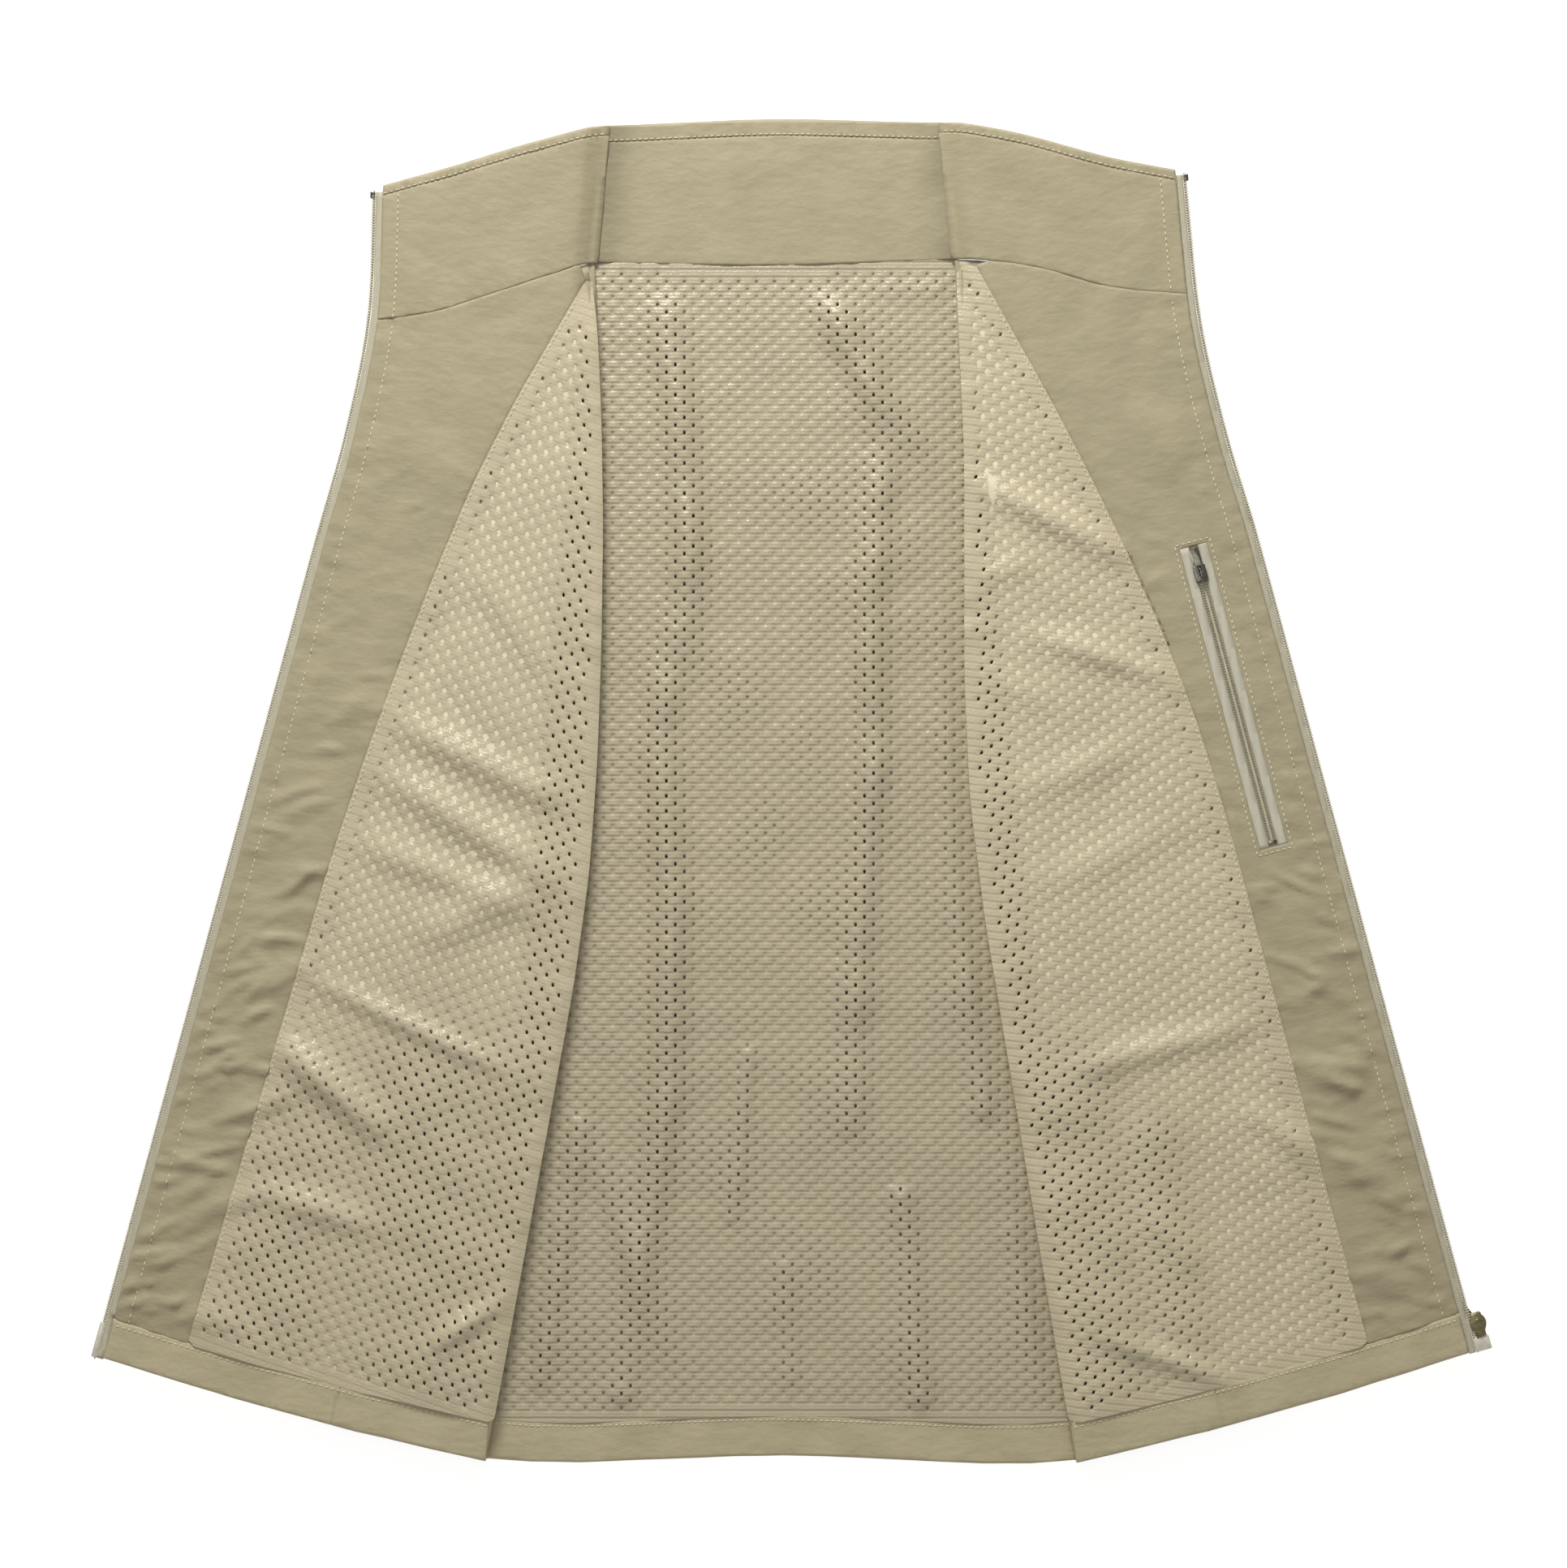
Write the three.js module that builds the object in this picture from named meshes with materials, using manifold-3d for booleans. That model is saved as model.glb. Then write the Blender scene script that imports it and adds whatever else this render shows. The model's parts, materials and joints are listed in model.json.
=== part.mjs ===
// A fishing vest laid on its back with both fronts folded open, so that its inside shows.
// Millimetres, +Z up, +Y towards the collar. The back's outside lies on the plane z = 0.
import * as THREE from "three";
import { mergeVertices } from "three/addons/utils/BufferGeometryUtils.js";
import Module from "manifold-3d";

const wasm = await Module();
wasm.setup();

// Cloth and the clearance between two pieces that lie on each other or meet at a seam.
const CLOTH = 0.8;
const GAP = 0.3;
const LAYER = CLOTH + GAP;
const CURVE_STEPS = 12;

// The back panel, half of it. The neck points and hem corners are the two fronts' own.
const BACK = {
  shoulderTip: [213, 249],
  armhole: [[192, 210], [183, 147], [205, 70]],
  underarm: [276, 7],
  sideHem: [286, -337],
  hemDrop: 2,
  hemHeight: 22,
  neckSag: 2.5,
  collarHeight: 76,
  collarRim: 9,
  collarCrown: 3,
};

// Each front is drawn in its own flat frame: u runs outwards from the fold line, v runs up it,
// and the neck point is u = 0, v = 0.
const FRONT_TILT = THREE.MathUtils.degToRad(1);
const AXIS_GAP = 0.4;
const LEFT = {
  name: "left",
  side: -1,
  neck: [-105.3, 289.8],
  hemCorner: [-164.7, -374.4],
  foldBulge: [[-18, -147], [-27.4, -340], [-13, -520]],
  zipFoot: 223.5,
  zipKnee: [140, -160],
  zipNeck: [[130.4, -110], [123, -41.5]],
  zipTop: [126.5, 27],
  neckSeam: [[40, -17.5], [84, -35.5]],
  neckSeamEnd: -43,
  collarTop: [[43.7, 60.3], [84, 44]],
  collarEnd: 31,
  liningSeam: [[3, -12], [54, -126.7], [101.4, -286.7], [138, -452.5]],
  liningFoot: 170,
  hemRise: 37.5,
};
const RIGHT = {
  name: "right",
  side: 1,
  neck: [95.4, 291.6],
  hemCorner: [162, -375.3],
  foldBulge: [[-5.6, -109], [-21.5, -300], [-10.5, -502]],
  zipFoot: 230,
  zipKnee: [151, -160],
  zipNeck: [[141.7, -114.7], [132.8, -46]],
  zipTop: [132.7, 33.2],
  neckSeam: [[43, -9.8], [84, -25]],
  neckSeamEnd: -33,
  collarTop: [[43, 64], [88, 47]],
  collarEnd: 36,
  liningSeam: [[10, -6], [61.3, -127], [106.4, -267], [134.8, -429]],
  liningFoot: 167,
  hemRise: 38.5,
};
const FRONT = { hemHeight: 22, hemSag: 3, collarRim: 5.5 };

// The front zip: a coil on the edge of a tape that is sewn in between the facing and the shell.
const ZIP = {
  coilWidth: 2.7,
  coilThickness: 1.8,
  tapeShown: 4.2,
  tapeSewn: 6,
  tapeThickness: 0.6,
  endLength: 7.6,
  boxWidth: 8.8,
  boxThickness: 3,
  pinLength: 20,
  pinWidth: 3.2,
  stopLength: 3.6,
};
const SLIDER = { width: 9.5, length: 13.2, plate: 0.9, web: 2.2 };
const PULL = { width: 5, length: 26, thickness: 0.8, frame: 1.3 };
const BAIL = { width: 1.2, length: 5.2, height: 3, bar: 0.8 };

// The inside pocket in the right facing, with a closed zip. Its frame hangs from the slit's top end.
const POCKET = {
  top: [114.8, -171.8],
  lean: THREE.MathUtils.degToRad(9.35),
  slitWidth: 16,
  slitLength: 173,
  coilWidth: 1.8,
  coilGap: 1.2,
  coilThickness: 1.4,
  coilRise: 0.5,
  topSpace: 11.5,
  footSpace: 4,
  stopLength: 2,
  bagInwards: 60,
  bagOutwards: 14,
  bagAbove: 8,
  bagBelow: 12,
  bagWindow: 13,
};
const POCKET_SLIDER = { width: 7, length: 9, plate: 0.5, web: 0.6 };
const POCKET_PULL = { width: 4.4, length: 14.4, thickness: 0.7, frame: 1.1 };

// The outside pocket on each side panel.
const CARGO = { inner: 10, outer: 108, top: -445, bottom: -600, thickness: 1.6, corner: 14 };
const CARGO_FLAP = { overhang: 2, height: 44, rise: 8 };

const ARMHOLE_BINDING = 3;
const FRONT_CLEARANCE = 0.38;

// Heights of the layers: of the back and side panel above z = 0, of a front below its top face.
const SIDE_BOTTOM = 2 * LAYER;
const SIDE_TOP = SIDE_BOTTOM + LAYER + CLOTH;
const MIDDLE_TOP = -LAYER;
const MIDDLE_BOTTOM = MIDDLE_TOP - ZIP.tapeThickness;
const SHELL_TOP = MIDDLE_BOTTOM - GAP;
const SHELL_BOTTOM = SHELL_TOP - CLOTH;
const COIL_TOP = (MIDDLE_TOP + MIDDLE_BOTTOM + ZIP.coilThickness) / 2;
const FACING_INSET = ZIP.coilWidth + GAP + ZIP.tapeShown;

// The fold line's height: the fronts clear the outside pockets that lie under them.
const CARGO_TOP = SIDE_TOP + GAP + CARGO.thickness + GAP + CLOTH;
const FRONT_DROP = (CARGO.outer + CARGO_FLAP.overhang) * Math.sin(FRONT_TILT);
const FOLD_HEIGHT = CARGO_TOP - SHELL_BOTTOM + FRONT_DROP + FRONT_CLEARANCE;

const SHELL_CLOTH = material("#a99c7c", 0.75, 0);
const FACING_CLOTH = material("#aca07e", 0.7, 0);
const MESH_CLOTH = material("#b8ac8a", 0.6, 0);
const TAPE = material("#aaa38c", 0.85, 0);
const POCKET_TAPE = material("#b5ae97", 0.85, 0);
const COIL = material("#b0a992", 0.5, 0);
const BRONZE = material("#6f6546", 0.35, 0.8);
const NICKEL = material("#6d6a62", 0.3, 0.9);
const BOX_PLASTIC = material("#b9b39c", 0.5, 0);

function material(color, roughness, metalness) {
  return new THREE.MeshStandardMaterial({ color, roughness, metalness });
}

function vectors(points) {
  return points.map(([x, y]) => new THREE.Vector2(x, y));
}

function smooth(points, steps = CURVE_STEPS) {
  return new THREE.SplineCurve(vectors(points)).getPoints(steps);
}

// Moves a line sideways, to the right of the way it runs when the distance is positive.
function offset(line, distance) {
  return line.map((point, i) => {
    const before = line[Math.max(i - 1, 0)];
    const after = line[Math.min(i + 1, line.length - 1)];
    const along = after.clone().sub(before).normalize();
    return new THREE.Vector2(point.x + along.y * distance, point.y - along.x * distance);
  });
}

function shifted(line, dx, dy) {
  return line.map((point) => new THREE.Vector2(point.x + dx, point.y + dy));
}

// The point where a line that runs upwards, or runs down, passes a height.
function atHeight(line, y) {
  for (let i = 1; i < line.length; i += 1) {
    const a = line[i - 1];
    const b = line[i];
    if ((a.y - y) * (b.y - y) <= 0 && a.y !== b.y) {
      return a.clone().lerp(b, (y - a.y) / (b.y - a.y));
    }
  }
  return line[Math.abs(line[0].y - y) < Math.abs(line.at(-1).y - y) ? 0 : line.length - 1].clone();
}

// The stretch of a line that runs upwards, between two heights.
function stretch(line, low, high) {
  const inside = line.filter((point) => point.y > low + 1 && point.y < high - 1);
  return [atHeight(line, low), ...inside, atHeight(line, high)];
}

// A flat piece of one thickness. The outline and the windows in it are lists of points.
function plate(name, outline, bottom, top, look, windows = []) {
  const shape = new THREE.Shape(outline);
  shape.holes = windows.map((window) => new THREE.Path(window));
  const geometry = new THREE.ExtrudeGeometry(shape, { depth: top - bottom, bevelEnabled: false });
  geometry.translate(0, 0, bottom);
  const mesh = new THREE.Mesh(geometry, look);
  mesh.name = name;
  return mesh;
}

// A strip that follows a line, between two distances from it.
function strip(line, from, to) {
  return [...offset(line, from), ...offset(line, to).reverse()];
}

function rectangle(left, bottom, right, top) {
  return vectors([[left, bottom], [right, bottom], [right, top], [left, top]]);
}

function box(width, length, height, x, y, z) {
  return new THREE.BoxGeometry(width, length, height).translate(x, y, z);
}

function solid(geometry) {
  const bare = new THREE.BufferGeometry();
  const source = geometry.index ? geometry.toNonIndexed() : geometry;
  bare.setAttribute("position", source.getAttribute("position"));
  const merged = mergeVertices(bare, 1e-3);
  return new wasm.Manifold(new wasm.Mesh({
    numProp: 3,
    vertProperties: merged.attributes.position.array,
    triVerts: new Uint32Array(merged.index.array),
  }));
}

function joined(name, geometries, look) {
  const whole = geometries.map(solid).reduce((a, b) => a.add(b));
  return meshOf(name, whole, look);
}

function meshOf(name, manifold, look) {
  const made = manifold.getMesh();
  const geometry = new THREE.BufferGeometry();
  geometry.setAttribute("position", new THREE.BufferAttribute(new Float32Array(made.vertProperties), 3));
  geometry.setIndex(new THREE.BufferAttribute(new Uint32Array(made.triVerts), 1));
  const mesh = new THREE.Mesh(geometry, look);
  mesh.name = name;
  return mesh;
}

// ---- A front's own frame ----

function foldAngle(front) {
  const across = (front.hemCorner[0] - front.neck[0]) * front.side;
  const down = front.neck[1] - front.hemCorner[1];
  return Math.atan2(across, down);
}

function foldLength(front) {
  return Math.hypot(front.hemCorner[0] - front.neck[0], front.hemCorner[1] - front.neck[1]);
}

// From a front's flat frame to the vest's.
function toVest(front, line) {
  const angle = foldAngle(front) * front.side;
  const centre = new THREE.Vector2(0, 0);
  return line.map((point) => new THREE.Vector2(point.x * front.side, point.y)
    .rotateAround(centre, angle)
    .add(new THREE.Vector2(...front.neck)));
}

function mirrored(front, line) {
  return line.map((point) => new THREE.Vector2(point.x * front.side, point.y));
}

function zipBottom(front) {
  return new THREE.Vector2(front.zipFoot, front.hemRise - foldLength(front));
}

// The outer edge of the coil, from the hem to the collar's top: straight up to the knee, then curved.
function zipLine(front) {
  const curve = smooth([front.zipKnee, ...front.zipNeck, front.zipTop]);
  return [zipBottom(front), ...curve];
}

function facingEdge(front) {
  return offset(zipLine(front), -FACING_INSET);
}

// The height of a front's lower edge at a distance from the fold.
function hemEdge(front, u) {
  const reach = facingEdge(front)[0].x;
  const t = u / reach;
  return -foldLength(front) + front.hemRise * t - FRONT.hemSag * 4 * t * (1 - t);
}

function hemLine(front, from, to, lift) {
  const line = [];
  for (let i = 0; i <= CURVE_STEPS; i += 1) {
    const u = from + ((to - from) * i) / CURVE_STEPS;
    line.push(new THREE.Vector2(u, hemEdge(front, u) + lift));
  }
  return line;
}

function hemEnd(front, lift) {
  const edge = facingEdge(front);
  return atHeight(edge, hemEdge(front, edge[0].x) + lift);
}

function neckSeam(front) {
  const end = atHeight(facingEdge(front), front.neckSeamEnd);
  return smooth([[AXIS_GAP, 0], ...front.neckSeam, [end.x, end.y]]);
}

function collarTop(front) {
  const edge = facingEdge(front);
  const reach = edge.at(-1).x;
  return smooth([[AXIS_GAP, BACK.collarHeight], ...front.collarTop, [reach, front.collarEnd]]);
}

function liningSeam(front) {
  const foot = hemEdge(front, front.liningFoot) + FRONT.hemHeight + GAP;
  return smooth([...front.liningSeam, [front.liningFoot, foot]]);
}

function foldEdge(front) {
  return smooth([[0, 0], ...front.foldBulge, [0, -foldLength(front)]]);
}

// ---- The pieces of a front ----

function frontPlate(front, piece, outline, bottom, top, look, windows = []) {
  const sides = windows.map((window) => mirrored(front, window));
  return plate(`${front.name}_${piece}`, mirrored(front, outline), bottom, top, look, sides);
}

function frontCloth(front) {
  const bottom = hemEnd(front, FRONT.hemHeight + GAP);
  const neck = shifted(neckSeam(front), 0, -GAP);
  const edge = stretch(facingEdge(front), bottom.y, neck.at(-1).y);
  const hemTop = hemLine(front, AXIS_GAP, bottom.x, FRONT.hemHeight + GAP).slice(0, -1);
  const outline = [...hemTop, ...edge, ...neck.slice(0, -1).reverse()];
  return frontPlate(front, "front_shell", outline, SHELL_BOTTOM, SHELL_TOP, SHELL_CLOTH);
}

function facing(front, windows) {
  const seam = offset(liningSeam(front), -GAP / 2);
  const bottom = hemEnd(front, FRONT.hemHeight + GAP);
  const neck = shifted(neckSeam(front), 0, -GAP);
  const edge = stretch(facingEdge(front), bottom.y, neck.at(-1).y);
  const hemTop = hemLine(front, seam.at(-1).x, bottom.x, FRONT.hemHeight + GAP).slice(1, -1);
  const start = seam[0].x;
  const upper = neck.filter((point) => point.x > start + 1).slice(0, -1).reverse();
  const outline = [...seam, ...hemTop, ...edge, ...upper];
  return frontPlate(front, "facing", outline, -CLOTH, 0, FACING_CLOTH, windows);
}

function frontLining(front) {
  const seam = offset(liningSeam(front), GAP / 2);
  const foot = seam.at(-1);
  const hemTop = hemLine(front, AXIS_GAP, foot.x, FRONT.hemHeight + GAP).slice(0, -1);
  const apex = new THREE.Vector2(AXIS_GAP, seam[0].y);
  const outline = [...hemTop, ...seam.slice().reverse(), apex];
  return frontPlate(front, "front_lining", outline, -CLOTH, 0, MESH_CLOTH);
}

function frontHem(front) {
  const low = hemEnd(front, 0);
  const high = hemEnd(front, FRONT.hemHeight);
  const lower = hemLine(front, AXIS_GAP, low.x, 0);
  const upper = hemLine(front, AXIS_GAP, high.x, FRONT.hemHeight).reverse();
  return frontPlate(front, "front_hem", [...lower, ...upper], SHELL_BOTTOM, 0, SHELL_CLOTH);
}

function collarOutline(front) {
  const low = shifted(neckSeam(front), 0, GAP);
  const high = shifted(collarTop(front), 0, -FRONT.collarRim - GAP);
  const edge = stretch(facingEdge(front), low.at(-1).y, high.at(-1).y);
  return [...low.slice(0, -1), ...edge, ...high.slice(0, -1).reverse()];
}

function collarRim(front) {
  const high = collarTop(front);
  const low = shifted(high, 0, -FRONT.collarRim);
  return frontPlate(front, "collar_rim", [...low, ...high.reverse()], SHELL_BOTTOM, 0, SHELL_CLOTH);
}

// The coil ends at the foot's fitting and at the top stop.
function coilRun(front, footLength) {
  const line = zipLine(front);
  const foot = line[0].y + footLength + GAP;
  return stretch(line, foot, line.at(-1).y - ZIP.stopLength - GAP);
}

function zipPieces(front, footLength) {
  const line = zipLine(front);
  const tapeOuter = -ZIP.coilWidth - GAP;
  const tapeInner = tapeOuter - ZIP.tapeShown - ZIP.tapeSewn;
  const coilBottom = COIL_TOP - ZIP.coilThickness;
  // The hem and the rim are full thickness, so the sewn edge of the tape stops short of them.
  const shownTape = strip(line, -FACING_INSET + GAP, tapeOuter);
  const sewnLow = hemEnd(front, FRONT.hemHeight + GAP).y;
  const sewnHigh = front.collarEnd - FRONT.collarRim - 3 * GAP - ZIP.tapeSewn / 2;
  const sewnTape = strip(stretch(line, sewnLow + 2, sewnHigh), tapeInner, tapeOuter);
  const height = ZIP.tapeThickness;
  const tapeParts = [shownTape, sewnTape].map((outline) => {
    const shape = new THREE.Shape(mirrored(front, outline));
    const geometry = new THREE.ExtrudeGeometry(shape, { depth: height, bevelEnabled: false });
    return geometry.translate(0, 0, MIDDLE_BOTTOM);
  });
  const stop = stretch(line, line.at(-1).y - ZIP.stopLength, line.at(-1).y);
  const coil = strip(coilRun(front, footLength), -ZIP.coilWidth, 0);
  const stopStrip = strip(stop, -ZIP.coilWidth, 0);
  return [
    joined(`${front.name}_zip_tape`, tapeParts, TAPE),
    frontPlate(front, "zip_teeth", coil, coilBottom, COIL_TOP, COIL),
    frontPlate(front, "zip_top_stop", stopStrip, coilBottom - GAP, COIL_TOP + GAP, BOX_PLASTIC),
  ];
}

function frontGroup(front, footLength, windows) {
  const group = new THREE.Group();
  group.position.set(front.neck[0], front.neck[1], FOLD_HEIGHT);
  group.rotation.set(0, front.side * FRONT_TILT, front.side * foldAngle(front), "ZYX");
  group.add(frontCloth(front), facing(front, windows), frontLining(front), frontHem(front));
  const collar = collarOutline(front);
  group.add(frontPlate(front, "collar_stand", collar, SHELL_BOTTOM, SHELL_TOP, SHELL_CLOTH));
  group.add(frontPlate(front, "collar_facing", collar, -CLOTH, 0, FACING_CLOTH));
  group.add(collarRim(front), ...zipPieces(front, footLength));
  return group;
}

// ---- Fittings of the zips ----

// Two plates on a web, with a bail on one of them. It runs along y; the bail points up +z when up is 1.
function sliderBody(name, size, webCentre, channelBottom, channelTop, up, look) {
  const height = channelTop - channelBottom;
  const middle = (channelTop + channelBottom) / 2;
  const face = up > 0 ? channelTop + size.plate : channelBottom - size.plate;
  const legAt = (BAIL.length - BAIL.bar) / 2;
  const legMiddle = face + (up * BAIL.height) / 2;
  const barMiddle = face + up * (BAIL.height - BAIL.bar / 2);
  return joined(name, [
    box(size.width, size.length, size.plate, 0, 0, channelTop + size.plate / 2),
    box(size.width, size.length, size.plate, 0, 0, channelBottom - size.plate / 2),
    box(size.web, size.length, height + size.plate, webCentre, 0, middle),
    box(BAIL.width, BAIL.bar, BAIL.height + size.plate, 0, legAt, legMiddle - up * size.plate / 2),
    box(BAIL.width, BAIL.bar, BAIL.height + size.plate, 0, -legAt, legMiddle - up * size.plate / 2),
    box(BAIL.width, BAIL.length, BAIL.bar, 0, 0, barMiddle),
  ], look);
}

// A tapered tab whose end frame goes round the bail's bar. It lies along +y from its hinge line.
function pullTab(name, size, look) {
  const half = size.width / 2;
  const windowHalf = BAIL.width / 2 + GAP + 0.1;
  const windowEnd = BAIL.length / 2 + BAIL.height / 2;
  const back = -size.thickness / 2;
  const frameHalf = windowHalf + size.frame;
  const outline = vectors([
    [-frameHalf, back],
    [frameHalf, back],
    [frameHalf, windowEnd + size.frame],
    [half, size.length - size.frame],
    [half - size.frame, size.length],
    [size.frame - half, size.length],
    [-half, size.length - size.frame],
    [-frameHalf, windowEnd + size.frame],
  ]);
  const window = rectangle(-windowHalf, size.thickness / 2, windowHalf, windowEnd);
  return plate(name, outline, -size.thickness / 2, size.thickness / 2, look, [window]);
}

// A frame at the foot of a front's zip, with +y up the coil's straight run.
function zipFrame(front) {
  const bottom = zipBottom(front);
  const knee = new THREE.Vector2(...front.zipKnee);
  const frame = new THREE.Group();
  frame.position.set(bottom.x * front.side, bottom.y, 0);
  frame.rotation.z = Math.atan2(bottom.x - knee.x, knee.y - bottom.y) * front.side;
  return frame;
}

function leftPin() {
  const frame = zipFrame(LEFT);
  const middle = COIL_TOP - ZIP.coilThickness / 2;
  const outline = rectangle(0, 0, ZIP.coilWidth, ZIP.pinLength);
  const half = ZIP.pinWidth / 2 - GAP;
  frame.add(plate("left_zip_pin", outline, middle - half, middle + half, BOX_PLASTIC));
  return frame;
}

function rightFittings() {
  const frame = zipFrame(RIGHT);
  const middle = COIL_TOP - ZIP.coilThickness / 2;
  const boxLeft = -ZIP.coilWidth;
  const outline = rectangle(boxLeft, 0, boxLeft + ZIP.boxWidth, ZIP.endLength);
  const half = ZIP.boxThickness / 2;
  frame.add(plate("right_zip_box", outline, middle - half, middle + half, BOX_PLASTIC));
  const runner = new THREE.Group();
  const sliderX = SLIDER.width / 2 - ZIP.coilWidth;
  runner.position.set(sliderX, ZIP.endLength + GAP + SLIDER.length / 2, 0);
  const channel = ZIP.coilThickness / 2 + GAP;
  const webCentre = GAP + SLIDER.web / 2 - sliderX;
  const low = middle - channel;
  runner.add(sliderBody("front_slider", SLIDER, webCentre, low, middle + channel, -1, BRONZE));
  const pull = pullTab("front_pull", PULL, BRONZE);
  pull.position.z = low - SLIDER.plate - (BAIL.height - BAIL.bar) / 2;
  runner.add(pull);
  frame.add(runner);
  return frame;
}

// ---- The inside pocket ----

function pocketFrame() {
  const frame = new THREE.Group();
  frame.position.set(POCKET.top[0], POCKET.top[1], 0);
  frame.rotation.z = POCKET.lean;
  return frame;
}

function pocketSlit() {
  const half = POCKET.slitWidth / 2;
  const centre = new THREE.Vector2(0, 0);
  return rectangle(-half, -POCKET.slitLength, half, 0).map((corner) => corner
    .rotateAround(centre, POCKET.lean)
    .add(new THREE.Vector2(...POCKET.top)));
}

function pocketZip() {
  const frame = pocketFrame();
  const coilInner = POCKET.coilGap / 2;
  const coilOuter = coilInner + POCKET.coilWidth;
  const tapeInner = coilOuter + GAP;
  const tapeOuter = POCKET.slitWidth / 2 - GAP;
  const top = -GAP;
  const bottom = GAP - POCKET.slitLength;
  const rowTop = -POCKET.topSpace;
  const rowBottom = POCKET.footSpace - POCKET.slitLength;
  const low = POCKET.coilRise - POCKET.coilThickness;
  [["inner", -1], ["outer", 1]].forEach(([name, side]) => {
    const tape = rectangle(tapeInner, bottom, tapeOuter, top);
    const row = rectangle(coilInner, rowBottom, coilOuter, rowTop);
    const turned = (line) => line.map((point) => new THREE.Vector2(point.x * side, point.y));
    frame.add(plate(`pocket_tape_${name}`, turned(tape), -CLOTH, GAP - CLOTH / 2, POCKET_TAPE));
    frame.add(plate(`pocket_teeth_${name}`, turned(row), low, POCKET.coilRise, NICKEL));
  });
  const stopHalf = coilOuter;
  const stopTop = rectangle(-stopHalf, rowTop + GAP, stopHalf, rowTop + GAP + POCKET.stopLength);
  const stopFoot = rectangle(-stopHalf, rowBottom - GAP - POCKET.stopLength, stopHalf, rowBottom - GAP);
  frame.add(plate("pocket_top_stop", stopTop, low, POCKET.coilRise, NICKEL));
  frame.add(plate("pocket_foot_stop", stopFoot, low, POCKET.coilRise, NICKEL));
  frame.add(pocketBag(), pocketRunner(rowTop, low));
  return frame;
}

function pocketBag() {
  const outline = rectangle(
    -POCKET.bagInwards,
    -POCKET.slitLength - POCKET.bagBelow,
    POCKET.bagOutwards,
    POCKET.bagAbove,
  );
  const half = POCKET.bagWindow / 2;
  const window = rectangle(-half, -POCKET.slitLength, half, 0);
  return plate("pocket_bag", outline, MIDDLE_BOTTOM, MIDDLE_TOP, SHELL_CLOTH, [window]);
}

function pocketRunner(rowTop, low) {
  const runner = new THREE.Group();
  runner.position.y = rowTop - POCKET_SLIDER.length / 2;
  const channelTop = POCKET.coilRise + GAP;
  const channelBottom = low - GAP;
  runner.add(sliderBody("pocket_slider", POCKET_SLIDER, 0, channelBottom, channelTop, 1, NICKEL));
  const pull = pullTab("pocket_pull", POCKET_PULL, NICKEL);
  pull.position.z = channelTop + POCKET_SLIDER.plate + (BAIL.height - BAIL.bar) / 2;
  runner.add(pull);
  return runner;
}

// ---- The back and the side panels under the fronts ----

function armhole(side) {
  const points = [BACK.shoulderTip, ...BACK.armhole, BACK.underarm];
  return smooth(points.map(([x, y]) => [x * side, y]));
}

function backNeck() {
  const [lx, ly] = LEFT.neck;
  const [rx, ry] = RIGHT.neck;
  return smooth([[lx + AXIS_GAP, ly], [(lx + rx) / 2, (ly + ry) / 2 - BACK.neckSag], [rx - AXIS_GAP, ry]]);
}

// The lower edge of the back, from its left side to its right.
function backHemEdge(lift) {
  const [sideX, sideY] = BACK.sideHem;
  const middle = (LEFT.hemCorner[1] + RIGHT.hemCorner[1]) / 2 + BACK.hemDrop;
  const corners = [LEFT.hemCorner, [0, middle], RIGHT.hemCorner];
  const line = smooth([[-sideX, sideY], ...corners, [sideX, sideY]], 2 * CURVE_STEPS);
  return shifted(line, 0, lift);
}

function backOutline() {
  const neck = shifted(backNeck(), 0, -GAP);
  const hem = backHemEdge(BACK.hemHeight + GAP);
  return [...hem, ...armhole(1).reverse(), ...neck.reverse(), ...armhole(-1)];
}

function backCollarTop() {
  const [left] = toVest(LEFT, vectors([[-AXIS_GAP, BACK.collarHeight]]));
  const [right] = toVest(RIGHT, vectors([[-AXIS_GAP, BACK.collarHeight]]));
  const crown = (left.y + right.y) / 2 + BACK.collarCrown;
  return smooth([[left.x, left.y], [(left.x + right.x) / 2, crown], [right.x, right.y]]);
}

function backPieces() {
  const outline = backOutline();
  const collarLow = shifted(backNeck(), 0, GAP);
  const collarHigh = shifted(backCollarTop(), 0, -BACK.collarRim - GAP);
  const collar = [...collarLow, ...collarHigh.reverse()];
  const rim = [...shifted(backCollarTop(), 0, -BACK.collarRim), ...backCollarTop().reverse()];
  const hem = [...backHemEdge(0), ...backHemEdge(BACK.hemHeight).reverse()];
  const top = LAYER + CLOTH;
  return [
    plate("back_shell", outline, 0, CLOTH, SHELL_CLOTH),
    plate("back_lining", outline, LAYER, top, MESH_CLOTH),
    plate("back_hem", hem, 0, top, SHELL_CLOTH),
    plate("back_collar_stand", collar, 0, CLOTH, SHELL_CLOTH),
    plate("back_collar_facing", collar, LAYER, top, FACING_CLOTH),
    plate("back_collar_rim", rim, 0, top, SHELL_CLOTH),
  ];
}

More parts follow.
